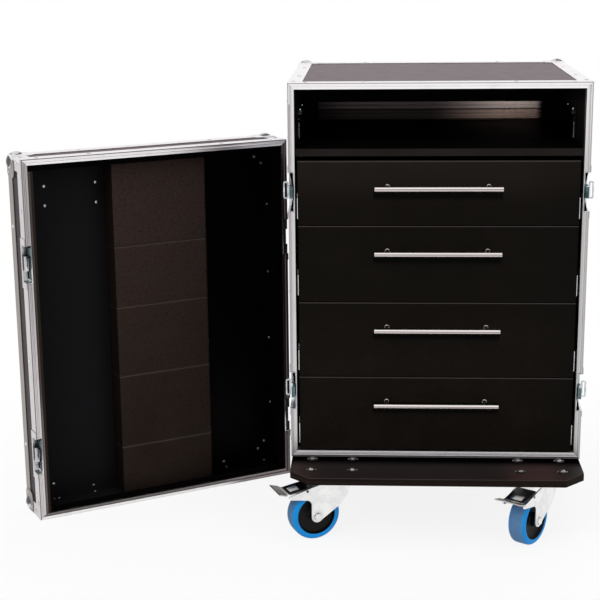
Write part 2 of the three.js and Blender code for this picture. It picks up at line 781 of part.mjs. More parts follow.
function drawerBody(index) {
  const base = drawerBases[index];
  const top = drawerTops[index];
  const front = block([-frontHalf, frontHalf], [drawerSetback, boxFront], [base, top]);
  const boxTop = top - drawerBoxDrop;
  const boxBase = base + drawerFloorRise;
  const outer = block([-boxHalf, boxHalf], [boxFront - seatGap, boxSpan[1]], [boxBase, boxTop]);
  const inner = block(
    [-boxHalf + drawerPly, boxHalf - drawerPly],
    [boxFront, boxSpan[1] - drawerPly],
    [boxBase + drawerFloorPly, boxTop + overrun],
  );
  const half = runnerHeight / 2 - runnerWall - runningGap;
  const middle = runnerMiddles[index];
  const reach = linerInner - runnerWall - runningGap;
  const members = Object.values(sides).map((side) => {
    const bar = block([side * (boxHalf - seatGap), side * reach], runnerSpan, [middle - half, middle + half]);
    const hollow = block(
      [side * (boxHalf + runnerWall), side * (reach + overrun)],
      [runnerSetback - overrun, runnerSpan[1] + overrun],
      [middle - half + runnerWall, middle + half - runnerWall],
    );
    return cut(bar, hollow);
  });
  return join(cut(join(front, outer), inner), ...members);
}

function barHandle(index) {
  const z = drawerTops[index] - barDrop;
  const y = drawerSetback - barStand;
  const round = barRadius / 4;
  const half = barLength / 2;
  const bar = turned(
    [
      [0, -half],
      [barRadius - round, -half],
      [barRadius, -half + round],
      [barRadius, half - round],
      [barRadius - round, half],
      [0, half],
    ],
    axisX,
    [0, y, z],
    barSegments,
  );
  const posts = [-1, 1].map((end) =>
    rod(barPostRadius, [y, drawerSetback - seatGap], axisY, [end * (barPostSpacing / 2), 0, z]),
  );
  return join(bar, ...posts);
}

for (let index = 0; index < drawerCount; index++) {
  add(`drawer_${index + 1}_box`, drawerBody(index), blackPly);
  add(`drawer_${index + 1}_bar_handle`, barHandle(index), steelBar);
}

// Base board, with its front corners cut off and a hole for each castor bolt
const boardHalf = halfWidth - boardSideInset;
const castorPlaces = {
  front_left: [-(halfWidth - castorInsetX), -boardFrontReach + castorInsetY],
  front_right: [halfWidth - castorInsetX, -boardFrontReach + castorInsetY],
  rear_left: [-(halfWidth - castorInsetX), boardRear - castorInsetY],
  rear_right: [halfWidth - castorInsetX, boardRear - castorInsetY],
};
const boltOffsets = [-1, 1].flatMap((end) => [
  [(end * boltSpacingX) / 2, boltSpacingY / 2],
  [(end * boltSpacingX) / 2, -boltSpacingY / 2],
]);

function baseBoard() {
  const outline = new THREE.Shape();
  outline.moveTo(-boardHalf, boardRear);
  outline.lineTo(-boardHalf, -boardFrontReach + boardChamfer);
  outline.lineTo(-boardHalf + boardChamfer, -boardFrontReach);
  outline.lineTo(boardHalf - boardChamfer, -boardFrontReach);
  outline.lineTo(boardHalf, -boardFrontReach + boardChamfer);
  outline.lineTo(boardHalf, boardRear);
  outline.closePath();
  const through = grow([castorHeight, boardTop], overrun);
  const holes = Object.values(castorPlaces).flatMap(([x, y]) =>
    boltOffsets.map(([dx, dy]) => rod(boltRadius + seatGap, through, axisZ, [x + dx, y + dy, 0])),
  );
  return cut(prismZ(outline, [castorHeight, boardTop]), ...holes);
}

add("base_board", baseBoard(), filmPly);

// Castor plate: the pressed plate, its four bolts, the fixed ball race and the king pin
const plateTop = castorHeight - seatGap;
const plateBase = plateTop - plateThickness;
const raceBase = plateBase - raceHeight;
const headTop = raceBase - seatGap;
const headBase = headTop - headThickness;

function castorPlate(boltsShow) {
  const spanX = grow([0, 0], plateWidth / 2);
  const outline = roundedRectangle(spanX, grow([0, 0], plateDepth / 2), plateCornerRadius);
  const shaftTop = boltsShow ? boardTop + seatGap + washerThickness / 2 : boardTop - seatGap;
  const washerBase = boardTop + seatGap;
  const washerTop = washerBase + washerThickness;
  const bolts = boltOffsets.flatMap(([x, y]) => {
    const shaft = rod(boltRadius, [plateBase + plateThickness / 2, shaftTop], axisZ, [x, y, 0]);
    if (!boltsShow) return [shaft];
    const head = turned(
      [
        [0, washerBase],
        [washerRadius, washerBase],
        [washerRadius, washerTop],
        [boltHeadRadius, washerTop],
        [boltHeadRadius * boltCrownShare, washerTop + boltHeadHeight * boltShoulderShare],
        [0, washerTop + boltHeadHeight],
      ],
      axisZ,
      [x, y, 0],
      rodSegments,
    );
    return [shaft, head];
  });
  const nutBase = headBase - seatGap - kingNutHeight;
  const race = turned(
    [
      [0, nutBase],
      [kingNutRadius, nutBase],
      [kingNutRadius, headBase - seatGap],
      [kingPinRadius, headBase - seatGap],
      [kingPinRadius, raceBase],
      [raceRadius - raceHeight / 2, raceBase],
      [raceRadius, raceBase + raceHeight / 2],
      [raceRadius, plateBase + plateThickness / 2],
      [0, plateBase + plateThickness / 2],
    ],
    axisZ,
    [0, 0, 0],
    headSegments,
  );
  return join(prismZ(outline, [plateBase, plateTop], 1), race, ...bolts);
}

// Fork, drawn with the wheel trailing towards -X: a bowl under the race, two cheeks and the axle
const cheekInner = wheelWidth / 2 + cheekClearance;
const cheekOuter = cheekInner + cheekThickness;
const atWheel = ([trailShare, radiusShare]) => [castorTrail * trailShare, wheelRadius * radiusShare];
const [pedalPinX, pedalPinZ] = atWheel(pedalPinShares);

function cheekOutline(hasBrake) {
  const [axleX, axleZ] = [-castorTrail, wheelRadius];
  const end = cheekEndRadius;
  const lead = Math.sqrt(headRadius ** 2 - cheekOuter ** 2);
  const [tailX, tailZ] = atWheel(hasBrake ? cheekShares.brakeTail : cheekShares.plainTail);
  const shape = new THREE.Shape();
  shape.moveTo(lead, headTop - headThickness / 2);
  shape.lineTo(...atWheel(cheekShares.nose));
  shape.quadraticCurveTo(...atWheel(cheekShares.throatBend), ...atWheel(cheekShares.throat));
  shape.absarc(axleX, axleZ, end, cheekEndTurn, -Math.PI, true);
  shape.lineTo(axleX - end, axleZ * cheekShares.archStart);
  const archEnd = [axleX - end * cheekShares.archReach, tailZ - end / 2];
  shape.quadraticCurveTo(axleX - end, axleZ * cheekShares.archTop, ...archEnd);
  shape.lineTo(tailX, tailZ);
  shape.lineTo(tailX, tailZ + end / 2);
  shape.lineTo(tailX / 2, headBase - headThickness / 2);
  shape.lineTo(-lead, headTop - headThickness / 2);
  shape.closePath();
  return shape;
}

function castorFork(hasBrake) {
  const pinRoom = kingPinRadius + seatGap;
  const bowl = turned(
    [
      [pinRoom, headBase],
      [headRadius - headLipThickness, headBase],
      [headRadius, headBase + headLipThickness],
      [headRadius, headTop + headLipHeight],
      [headRadius - headLipThickness, headTop + headLipHeight],
      [headRadius - headLipThickness, headTop],
      [pinRoom, headTop],
      [pinRoom, headBase],
    ],
    axisZ,
    [0, 0, 0],
    headSegments,
  );
  const cheeks = [-1, 1].map((end) =>
    prismY(cheekOutline(hasBrake), ordered([end * cheekInner, end * cheekOuter])),
  );
  const along = [-cheekOuter - axleNutThickness, cheekOuter + axleNutThickness];
  const axle = turned(
    [
      [0, along[0]],
      [axleNutRadius, along[0]],
      [axleNutRadius, -cheekOuter + seatGap],
      [axleRadius, -cheekOuter + seatGap],
      [axleRadius, cheekOuter - seatGap],
      [axleNutRadius, cheekOuter - seatGap],
      [axleNutRadius, along[1]],
      [0, along[1]],
    ],
    axisY,
    [-castorTrail, 0, wheelRadius],
    rodSegments,
  );
  const body = join(bowl, ...cheeks, axle);
  if (!hasBrake) return body;
  const through = grow([0, 0], cheekOuter + overrun);
  const hole = rod(pedalPinRadius + runningGap, through, axisY, [pedalPinX, 0, pedalPinZ]);
  return cut(body, hole);
}

// Wheel: a dished hub with a bore and a boss, and the tyre with rounded shoulders bonded round it
function castorWheel() {
  const bore = axleRadius + seatGap;
  const half = wheelWidth / 2;
  const bossHalf = cheekInner - seatGap;
  const shoulder = [];
  for (let i = 0; i <= shoulderSteps; i++) {
    const angle = (i / shoulderSteps) * (Math.PI / 2);
    shoulder.push([
      wheelRadius - wheelShoulder + wheelShoulder * Math.sin(angle),
      half - wheelShoulder + wheelShoulder * Math.cos(angle),
    ]);
  }
  const upper = [
    [bore, bossHalf],
    [hubBossRadius, bossHalf],
    [hubBossRadius, half - hubDish],
    [hubRadius - hubDish / 2, half - hubDish],
    [hubRadius, half],
    ...shoulder,
  ];
  const lower = upper.map(([radius, height]) => [radius, -height]);
  const profile = [...lower, ...upper.reverse(), lower[0]];
  return turned(profile, axisY, [-castorTrail, 0, wheelRadius], wheelSegments);
}

// Brake pedal: a pressed plate with a window, a turned-up tip, ears and the pin that it rocks on
function brakePedal() {
  const plateHalf = cheekInner - seatGap * 2;
  const at = ([trailShare, radiusShare]) => [
    pedalPinX - castorTrail * trailShare,
    pedalPinZ + pedalPinRadius * radiusShare,
  ];
  const heel = at(pedalShares.heel);
  const knee = at(pedalShares.knee);
  const tip = at(pedalShares.tip);
  const drop = pedalThickness;
  const plate = new THREE.Shape();
  plate.moveTo(...heel);
  plate.lineTo(...knee);
  plate.lineTo(...tip);
  plate.lineTo(tip[0] + drop / 2, tip[1] - drop);
  plate.lineTo(knee[0], knee[1] - drop);
  plate.lineTo(heel[0], heel[1] - drop);
  plate.closePath();
  const sheet = prismY(plate, [-plateHalf, plateHalf]);
  const through = grow([pedalPinZ, pedalPinZ], overrun * 2);
  const [windowFront] = at(pedalShares.windowFront);
  const [windowRear] = at(pedalShares.windowRear);
  const window = block([windowRear, windowFront], grow([0, 0], plateHalf * pedalWindowShare), through);
  const tail = castorTrail * cheekShares.brakeTail[0] - pedalTipOverhang / 2;
  const wideTip = prismY(plate, grow([0, 0], cheekOuter + pedalTipOverhang)).intersect(
    block([tip[0] - overrun, tail], grow([0, 0], wheelRadius), grow([pedalPinZ, pedalPinZ], wheelRadius)),
  );
  const ear = new THREE.Shape();
  ear.moveTo(...heel);
  ear.lineTo(...at(pedalShares.earFront));
  ear.lineTo(...at(pedalShares.earRear));
  ear.lineTo(...at(pedalShares.earEnd));
  ear.closePath();
  const earDepths = (end) => ordered([end * (plateHalf - pedalThickness / 2), end * plateHalf]);
  const ears = [-1, 1].map((end) => prismY(ear, earDepths(end)));
  const pin = rod(pedalPinRadius, grow([0, 0], cheekOuter), axisY, [pedalPinX, 0, pedalPinZ]);
  return join(cut(sheet, window), wideTip, ...ears, pin);
}

for (const [name, [x, y]] of Object.entries(castorPlaces)) {
  const isFront = name.startsWith("front");
  const fixed = new THREE.Group();
  fixed.position.set(x, y, 0);
  const swivel = new THREE.Group();
  swivel.rotation.z = castorTurnShares[name] * 2 * Math.PI;
  fixed.add(swivel);
  caseGroup.add(fixed);
  add(`castor_plate_${name}`, castorPlate(isFront), zinc, fixed);
  add(`castor_fork_${name}`, castorFork(isFront), zinc, swivel);
  add(`castor_wheel_${name}`, castorWheel(), tyreBlue, swivel);
  if (isFront) add(`brake_pedal_${name}`, brakePedal(), zinc, swivel);
}

// Lid: drawn with its rim's lower left corner at the origin and its open side towards -Y
const lidMiddles = Object.values(latchHeights);
const lidWallRear = lidDepth - plySeat - plyThickness - seatGap;
const keeperRooms = rimNotches(lidBox, lidMiddles, keeperPanReach);
const lidWalls = ring(lidBox, [plySeat, plyInset], [panelFront, lidWallRear]);
const lidFaceDepth = [lidDepth - plySeat - plyThickness, lidDepth - plySeat];
add("lid_walls", cut(lidWalls, ...keeperRooms), laminate, lidGroup);
const lidFace = block(grow(lidBox.x, -plySeat), lidFaceDepth, grow(lidBox.z, -plySeat));
add("lid_face_panel", lidFace, laminate, lidGroup);

// A keeper is the same pressing with a narrower pan, and a slotted bar that the hook catches
function keeperDish(side, faceX, middle) {
  const dish = pressedDish(side, faceX, keeperFlangeReach, keeperPanReach, middle);
  const half = keeperBarWidth / 2;
  const floor = plyInset - latchSheet;
  const bar = block(
    [faceX - side * (floor + latchSheet / 2), faceX + side * seatGap],
    [keeperPanReach / 2, keeperPanReach / 2 + keeperBarThickness],
    [middle - half, middle + half],
  );
  return join(dish, bar);
}

function lidRim() {
  const rim = cut(join(closingRim(lidBox), rimTongue(lidBox)), ...keeperRooms);
  const bridges = [];
  const keepers = [];
  for (const [name, side] of Object.entries(sides)) {
    const faceX = lidBox.x[name === "left" ? 0 : 1];
    for (const middle of lidMiddles) {
      keepers.push(keeperDish(side, faceX, middle));
      bridges.push(
        block(
          [faceX - side * (plyInset - latchSheet / 2), faceX - side * (rimFace - rimInnerWall / 2)],
          [rimWeb / 2, keeperPanReach / 2],
          grow([middle, middle], latchOpening / 2 - latchRadius),
        ),
      );
    }
  }
  return join(rim, ...keepers, ...bridges);
}

add("lid_rim", lidRim(), aluminium, lidGroup);
add("lid_edge_frame", edgeFrame(lidBox), aluminium, lidGroup);

function foamColumn() {
  const spanX = [foamLeft, foamLeft + foamWidth];
  const rear = lidWallRear;
  const spanZ = [plyInset + seatGap, caseHeight - plyInset - seatGap];
  const column = block(spanX, [foamFront, rear], spanZ);
  const slitDepth = [foamFront - overrun, foamFront + foamSlitDepth];
  const slits = drawerTops.map((top) => {
    const z = top - barDrop - caseBase;
    return block(grow(spanX, overrun), slitDepth, grow([z, z], foamSlit / 2));
  });
  return cut(column, ...slits);
}

add("lid_foam", foamColumn(), foamGrey, lidGroup);

lidGroup.rotation.z = lidTurn;
lidGroup.position.set(
  -halfWidth - lidGap - caseWidth * Math.cos(lidTurn),
  lidSetback - caseWidth * Math.sin(lidTurn),
  0,
);

// The origin is on the floor under the middle of the case and its lid together
part.updateMatrixWorld(true);
const reach = new THREE.Box3().setFromObject(part, true);
const middle = reach.getCenter(new THREE.Vector3());
part.position.set(-middle.x, -middle.y, -reach.min.z);

export default part;
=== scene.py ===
import json
import math

import bmesh
import bpy
import numpy as np
from mathutils import Matrix, Vector

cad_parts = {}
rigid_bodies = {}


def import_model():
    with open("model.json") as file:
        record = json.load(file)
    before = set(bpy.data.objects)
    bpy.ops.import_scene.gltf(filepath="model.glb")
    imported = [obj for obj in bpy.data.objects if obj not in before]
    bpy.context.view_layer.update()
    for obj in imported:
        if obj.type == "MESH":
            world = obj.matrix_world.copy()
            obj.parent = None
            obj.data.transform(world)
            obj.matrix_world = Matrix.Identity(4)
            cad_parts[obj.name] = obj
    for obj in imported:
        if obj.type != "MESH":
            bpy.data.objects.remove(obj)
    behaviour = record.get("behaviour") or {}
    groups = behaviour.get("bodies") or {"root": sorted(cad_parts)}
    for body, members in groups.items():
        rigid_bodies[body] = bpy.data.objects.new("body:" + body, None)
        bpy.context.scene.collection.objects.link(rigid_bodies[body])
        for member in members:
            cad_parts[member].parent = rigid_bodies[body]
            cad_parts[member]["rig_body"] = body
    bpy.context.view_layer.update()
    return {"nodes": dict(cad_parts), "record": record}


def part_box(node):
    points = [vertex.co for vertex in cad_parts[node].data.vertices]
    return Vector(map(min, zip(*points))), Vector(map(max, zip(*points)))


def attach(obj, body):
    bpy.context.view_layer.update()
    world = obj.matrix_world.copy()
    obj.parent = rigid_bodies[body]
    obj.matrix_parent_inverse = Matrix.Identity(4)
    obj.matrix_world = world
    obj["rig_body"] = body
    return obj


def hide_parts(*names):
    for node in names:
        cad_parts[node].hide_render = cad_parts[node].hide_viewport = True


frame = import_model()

slotOf = {row["node"]: row["material_slot"] for row in frame["record"]["subparts"]}
bodyOf = {node: piece["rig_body"] for node, piece in frame["nodes"].items()}
sides = {"left": -1, "right": 1}
levels = ("upper", "lower")
mm = 0.001
print("frame loaded:", len(frame["nodes"]), "nodes")


# Shader tools
def operator(operation, flipped=False):
    return lambda wire, other: wire.maths(operation, other, flipped)


class Wire:  # an output socket, so that shader maths reads as plain Python
    def __init__(self, finish, socket):
        self.finish = finish
        self.socket = socket

    def maths(self, operation, other=None, flipped=False):
        inputs = {0: other, 1: self} if flipped else {0: self, 1: other}
        return self.finish.node("Math", {"operation": operation}, inputs)

    __add__ = __radd__ = operator("ADD")
    __mul__ = __rmul__ = operator("MULTIPLY")
    __sub__ = operator("SUBTRACT")
    __rsub__ = operator("SUBTRACT", True)
    __gt__ = operator("GREATER_THAN")
    __lt__ = operator("LESS_THAN")
    least = operator("MINIMUM")
    most = operator("MAXIMUM")

    def size(self):
        return self.maths("ABSOLUTE")

    def near(self, middle, half):  # 1 where the value lies within half of the middle
        return (self - middle).size() < half

    def step(self, low, high):  # 0 below low, 1 above high, smooth between them
        inputs = {0: self, 1: low, 2: high, 3: 0, 4: 1}
        return self.finish.node("MapRange", {"interpolation_type": "SMOOTHSTEP"}, inputs)


def opaque(color):
    return color if isinstance(color, Wire) else (*color, 1)


class Finish:  # a material, or the world, and the nodes that make it
    def __init__(self, name, corner=(0, 0, 0), turn=0, world=False):
        self.material = (bpy.data.worlds if world else bpy.data.materials).new(name)
        self.material.use_nodes = True
        self.tree = self.material.node_tree
        self.tree.nodes.clear()
        if not world:  # Object coordinates from a corner, turned about Z, and their three parts
            raw = self.node("TexCoord", output="Object")
            inputs = {"Vector": raw, "Location": tuple(corner), "Rotation": (0, 0, turn)}
            self.local = self.node("Mapping", {"vector_type": "TEXTURE"}, inputs)
            self.parts = self.split(self.local)

    def node(self, kind, settings=None, inputs=None, output=0):  # an input of None stays as it is
        made = self.tree.nodes.new(f"ShaderNode{kind}")
        for name, value in (settings or {}).items():
            setattr(made, name, value)
        for key, value in (inputs or {}).items():
            if isinstance(value, Wire):
                self.tree.links.new(value.socket, made.inputs[key])
            elif value is not None:
                made.inputs[key].default_value = value
        return None if output is None else Wire(self, made.outputs[output])

    def split(self, vector):
        parts = self.node("SeparateXYZ", inputs={0: vector}).socket.node.outputs
        return [Wire(self, part) for part in parts]

    def noise(self, scale, detail=2, roughness=0.5, vector=None):
        inputs = {"Vector": vector or self.local, "Scale": scale, "Detail": detail, "Roughness": roughness}
        return self.node("TexNoise", inputs=inputs)

    def grain(self, scales, detail=2, roughness=0.5):  # noise with a scale for each axis
        scaled = self.node("VectorMath", {"operation": "MULTIPLY"}, {0: self.local, 1: scales})
        return self.noise(1, detail, roughness, scaled)

    def cells(self, scale, output="Distance"):
        return self.node("TexVoronoi", inputs={"Vector": self.local, "Scale": scale}, output=output)

    def blend(self, mask, low, high):  # the colour low where the mask is 0, high where it is 1
        inputs = {0: mask, 6: opaque(low), 7: opaque(high)}
        return self.node("Mix", {"data_type": "RGBA"}, inputs, 2)

    def coats(self, color, *coats):  # colours laid over the first in turn, each as far as its mask says
        for mask, over in coats:
            color = self.blend(mask, color, over)
        return color

    def either(self, mask, low, high):  # the vector low where the mask is 0, high where it is 1
        return self.node("Mix", {"data_type": "VECTOR"}, {0: mask, 4: low, 5: high}, 1)

    def bump(self, height, distance, strength=1, under=None):
        inputs = {"Height": height, "Distance": distance, "Strength": strength, "Normal": under}
        return self.node("Bump", inputs=inputs)

    def surface(self, color, roughness, metallic=0, normal=None, specular=0.5):
        inputs = {"Base Color": opaque(color), "Roughness": roughness, "Metallic": metallic,
                  "Specular IOR Level": specular, "Normal": normal}
        return self.node("BsdfPrincipled", inputs=inputs)

    def layers(self, mask, low, high):  # the surface low where the mask is 0, high where it is 1
        return self.node("MixShader", inputs={0: mask, 1: low, 2: high})

    def done(self, shader):
        self.node("OutputMaterial", inputs={0: shader}, output=None)
        return self.material

    def shade(self, *values, **named):
        return self.done(self.surface(*values, **named))


# Camera, where the photograph was taken from
view = {
    "place": (0.1608, -2.8667, 1.1371),
    "lens": 86.26,
    "yaw": -3.183,  # degrees to the right of straight ahead
    "pitch": 13.938,  # degrees down
    "roll": -0.587,
}


def makeCamera():
    yaw, pitch, roll = (math.radians(view[name]) for name in ("yaw", "pitch", "roll"))
    level = Vector((math.sin(yaw), math.cos(yaw), 0))
    ahead = level * math.cos(pitch) - Vector((0, 0, math.sin(pitch)))
    right = Vector((math.cos(yaw), -math.sin(yaw), 0))
    above = right.cross(ahead)
    across = right * math.cos(roll) + above * math.sin(roll)
    upright = above * math.cos(roll) - right * math.sin(roll)
    data = bpy.data.cameras.new("camera")
    data.lens = view["lens"]
    data.clip_start = 0.05
    camera = bpy.data.objects.new("camera", data)
    bpy.context.scene.collection.objects.link(camera)
    aimed = Matrix((across, upright, -ahead)).transposed().to_4x4()
    camera.matrix_world = Matrix.Translation(view["place"]) @ aimed
    bpy.context.scene.camera = camera


# Studio: white to look at, milder as light, with soft lamps and a pale floor
studio = {
    "worldLight": 0.5,
    "lamps": {  # place, aim, width, watts
        "key": ((-1.6, -2.6, 3.2), (0.1, 0, 0.3), 2.4, 62),
        "fill": ((2.8, -2.2, 1.9), (0.2, 0, 0.4), 2, 26),
        "top": ((0.3, 0.4, 3.6), (0.2, 0, 0.4), 2.6, 30),
        "rear": ((0.4, 3.2, 2.2), (0.2, 0, 0.4), 2.4, 24),
    },
    "floorFade": (0.55, 1.25),
    "floorShare": 0.13,  # how much of the floor shows over the white backdrop
    "floorHalf": 4,
    "floorTones": ((0.9, 0.9, 0.9), (0.93, 0.93, 0.93)),
}


def seenDirectly(finish):  # 1 on camera, glossy and transmission rays
    outputs = finish.node("LightPath").socket.node.outputs
    camera, glossy, through = (Wire(finish, outputs[name]) for name in (
        "Is Camera Ray", "Is Glossy Ray", "Is Transmission Ray"))
    return camera.most(glossy).most(through)


def makeStudio():
    scene = bpy.context.scene
    scene.view_settings.view_transform = "Standard"
    sky = Finish("studio", world=True)
    scene.world = sky.material
    strength = studio["worldLight"] + seenDirectly(sky) * (1 - studio["worldLight"])
    backdrop = sky.node("Background", inputs={0: (1, 1, 1, 1), 1: strength})
    sky.node("OutputWorld", inputs={0: backdrop}, output=None)
    for name, (place, aim, width, watts) in studio["lamps"].items():
        lamp = bpy.data.lights.new(name, "AREA")
        lamp.size = width
        lamp.energy = watts
        holder = bpy.data.objects.new(name, lamp)
        scene.collection.objects.link(holder)
        holder.location = place
        holder.rotation_euler = (Vector(aim) - Vector(place)).to_track_quat("-Z", "Y").to_euler()
        holder.visible_glossy = False


def makeFloor():
    half = studio["floorHalf"]
    corners = [(-half, -half, 0), (half, -half, 0), (half, half, 0), (-half, half, 0)]
    floor = meshPiece("floor", corners, [[0, 1, 2, 3]])
    pale = Finish("pale floor")
    x, y = pale.parts[:2]
    reach = (x * x + y * y).maths("SQRT")
    tone = pale.blend(pale.noise(60), *studio["floorTones"])
    shader = pale.surface(tone, 0.9, specular=0)
    kept = (1 - reach.step(*studio["floorFade"])) * studio["floorShare"]
    pale.tree.links.new(kept.socket, shader.socket.node.inputs["Alpha"])
    floor.data.materials.append(pale.done(shader))


# Mesh tools. A shape is its points and its faces
def meshPiece(name, points, faces, sharp=34):
    mesh = bpy.data.meshes.new(name)
    mesh.from_pydata(np.asarray(points, float).tolist(), [], faces)
    work = bmesh.new()
    work.from_mesh(mesh)
    bmesh.ops.remove_doubles(work, verts=work.verts, dist=1e-6)
    bmesh.ops.recalc_face_normals(work, faces=work.faces)
    work.to_mesh(mesh)
    work.free()
    mesh.shade_smooth()
    mesh.set_sharp_from_angle(angle=math.radians(sharp))
    piece = bpy.data.objects.new(name, mesh)
    bpy.context.scene.collection.objects.link(piece)
    return piece


def together(shapes):  # several shapes as one, the faces of each counted on from the last
    points = []
    faces = []
    count = 0
    for shapePoints, shapeFaces in shapes:
        points.append(np.asarray(shapePoints, float).reshape(-1, 3))
        faces += [[corner + count for corner in face] for face in shapeFaces]
        count += len(points[-1])
    return np.concatenate(points), faces


def bevelled(piece, width, steps=2):  # its width in mm
    edges = piece.modifiers.new("soft edges", "BEVEL")
    edges.width = width * mm
    edges.segments = steps
    edges.limit_method = "ANGLE"
    edges.angle_limit = math.radians(30)
    edges.use_clamp_overlap = False
    edges.harden_normals = True


def dress(piece, material, body, nodes=()):
    piece.data.materials.clear()
    piece.data.materials.append(material)
    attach(piece, body)
    if nodes:
        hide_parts(*nodes)
    return piece


# A piece that the CAD model leaves out
def extra(name, shapes, material, body, slot="zinc_steel", sharp=34, bevel=None, steps=2, nodes=()):
    piece = meshPiece(name, *together(shapes), sharp)
    if bevel:
        bevelled(piece, bevel, steps)
    return dress(piece, material, body, nodes)


def standIn(node, shapes, material, **edges):  # a finer piece in place of one CAD node
    return extra(f"{node}_finished", shapes, material, bodyOf[node], slotOf[node], nodes=[node], **edges)


# A copy of a CAD node: its triangles are merged into whole flat faces, and its edges rounded. The faces
# that run right round a frame are first cut in pieces, by planes given as a point and a normal each
def softened(node, material, width, steps=2, cuts=()):
    work = bmesh.new()
    work.from_mesh(frame["nodes"][node].data)
    bmesh.ops.remove_doubles(work, verts=work.verts, dist=2e-6)
    for point, normal in cuts:
        everything = [*work.verts, *work.edges, *work.faces]
        made = bmesh.ops.bisect_plane(work, geom=everything, dist=1e-6, plane_co=point, plane_no=normal)
        for part in made["geom_cut"]:
            if isinstance(part, bmesh.types.BMEdge):
                part.seam = True
    flat = math.radians(0.4)
    bmesh.ops.dissolve_limit(work, angle_limit=flat, verts=work.verts, edges=work.edges, delimit={"SEAM"})
    work.verts.index_update()
    points = [tuple(vert.co) for vert in work.verts]
    faces = [[vert.index for vert in face.verts] for face in work.faces]
    work.free()
    return standIn(node, [(points, faces)], material, sharp=180, bevel=width, steps=steps)


# A grid of points joined into four-sided faces: a loop joins the last row or column to the first
def grid(points, loopRows=False, loopColumns=False):
    rows, columns = points.shape[:2]
    index = np.arange(rows * columns).reshape(rows, columns)
    if loopRows:
        index = np.vstack([index, index[:1]])
    if loopColumns:
        index = np.hstack([index, index[:, :1]])
    corners = (index[:-1, :-1], index[:-1, 1:], index[1:, 1:], index[1:, :-1])
    return points.reshape(-1, 3), np.stack(corners, axis=-1).reshape(-1, 4).tolist()


def unit(vector):
    return np.asarray(vector, float) / np.linalg.norm(vector)


# A profile of (radius, height) turned about an axis: each point goes round a circle of its own radius
def turned(profile, centre, axis, turns=64, loop=False):
    profile = np.asarray(profile, float)
    axis = unit(axis)
    side = unit(np.cross(axis, (0, 0, 1) if abs(axis[2]) < 0.9 else (1, 0, 0)))
    other = np.cross(axis, side)
    angle = np.arange(turns) * 2 * np.pi / turns
    circle = np.cos(angle)[:, None] * side + np.sin(angle)[:, None] * other
    height = profile[:, 1, None, None] * axis
    return grid(np.asarray(centre, float) + height + profile[:, 0, None, None] * circle, loop, True)


def mirrored(profile):  # a profile up to its middle, then its mirror image back out
    return [*profile, *((radius, -height) for radius, height in reversed(profile))]


# Domes on one face, their sizes in mm: one profile, turned about the face's normal at each place
def domes(places, normal, radius, height):
    profile = np.array([(0, -0.3), (1, -0.3), (1, 0.15), (0.82, 0.7), (0.45, 0.95), (0, 1)])
    return together([turned(profile * (radius * mm, height * mm), place, normal, 14) for place in places])


# Axes set up at a point: a local point is that many steps along each of the three axes from the origin
def axesAt(origin, ahead):
    ahead, up = unit(ahead), np.array([0.0, 0.0, 1.0])
    axes = np.stack([ahead, np.cross(up, ahead), up])
    return lambda points: np.asarray(origin, float) + np.asarray(points, float) @ axes


# An outline of (a, b) points carried along the third local axis c, with a flat cap at each end
def plate(outline, low, high, local, order=(0, 2, 1)):
    outline = np.asarray(outline, float)
    count = len(outline)
    rows = [np.column_stack([outline, np.full(count, level)])[:, order] for level in (low, high)]
    points, faces = grid(local(np.stack(rows)), False, True)
    return points, faces + [list(range(count)), list(range(count, 2 * count))]


def arc(centre, radius, start, end, steps=8):  # points on a circle, angles in degrees
    angle = np.radians(np.linspace(start, end, steps + 1))
    return np.column_stack([centre[0] + radius * np.cos(angle), centre[1] + radius * np.sin(angle)])


def curve(start, bend, end, steps=8):  # a quadratic curve from start towards bend to end
    share = np.linspace(0, 1, steps + 1)[:, None]
    start, bend, end = (np.asarray(point, float) for point in (start, bend, end))
    return start * (1 - share) ** 2 + bend * 2 * share * (1 - share) + end * share ** 2


# A box with rounded edges: each point of a cube's grid is drawn in to the core box and pushed out
# again by the radius, along the line from the core to where it was
def roundedBlock(low, high, radius, cell):
    shapes = []
    for axis in range(3):
        one, two = (axis + 1) % 3, (axis + 2) % 3
        spans = [np.linspace(low[i], high[i], max(3, int((high[i] - low[i]) / cell)) + 1) for i in (one, two)]
        a, b = np.meshgrid(*spans, indexing="ij")
        for end in (low, high):
            points = np.zeros((*a.shape, 3))
            points[..., one], points[..., two], points[..., axis] = a, b, end[axis]
            shapes.append(grid(points))
    points, faces = together(shapes)
    core = np.clip(points, low + radius, high - radius)
    out = points - core
    return core + out / np.linalg.norm(out, axis=1)[:, None] * radius, faces


# The case and the lid: their sizes and turns. Their corners and local axes come from the frame
case = {
    "name": "case", "width": 0.57, "depth": 0.48, "height": 0.74, "turn": 0,
    "skin": 1.8 * mm, "ply": 10.8 * mm, "web": 5.3 * mm, "rim": "case_front_rim",
    "panels": ("left_panel", "right_panel", "top_panel", "bottom_panel", "rear_panel"),
}
lid = {
    "name": "lid", "width": case["width"], "depth": 0.092, "height": case["height"],
    "turn": math.radians(30.2), "panel": 9 * mm, "rim": "lid_rim", "panels": ("walls", "face_panel"),
}
latch = {"upper": 533 * mm, "lower": 137 * mm, "cuts": 45 * mm}
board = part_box("base_board")
middleX = (board[0].x + board[1].x) / 2


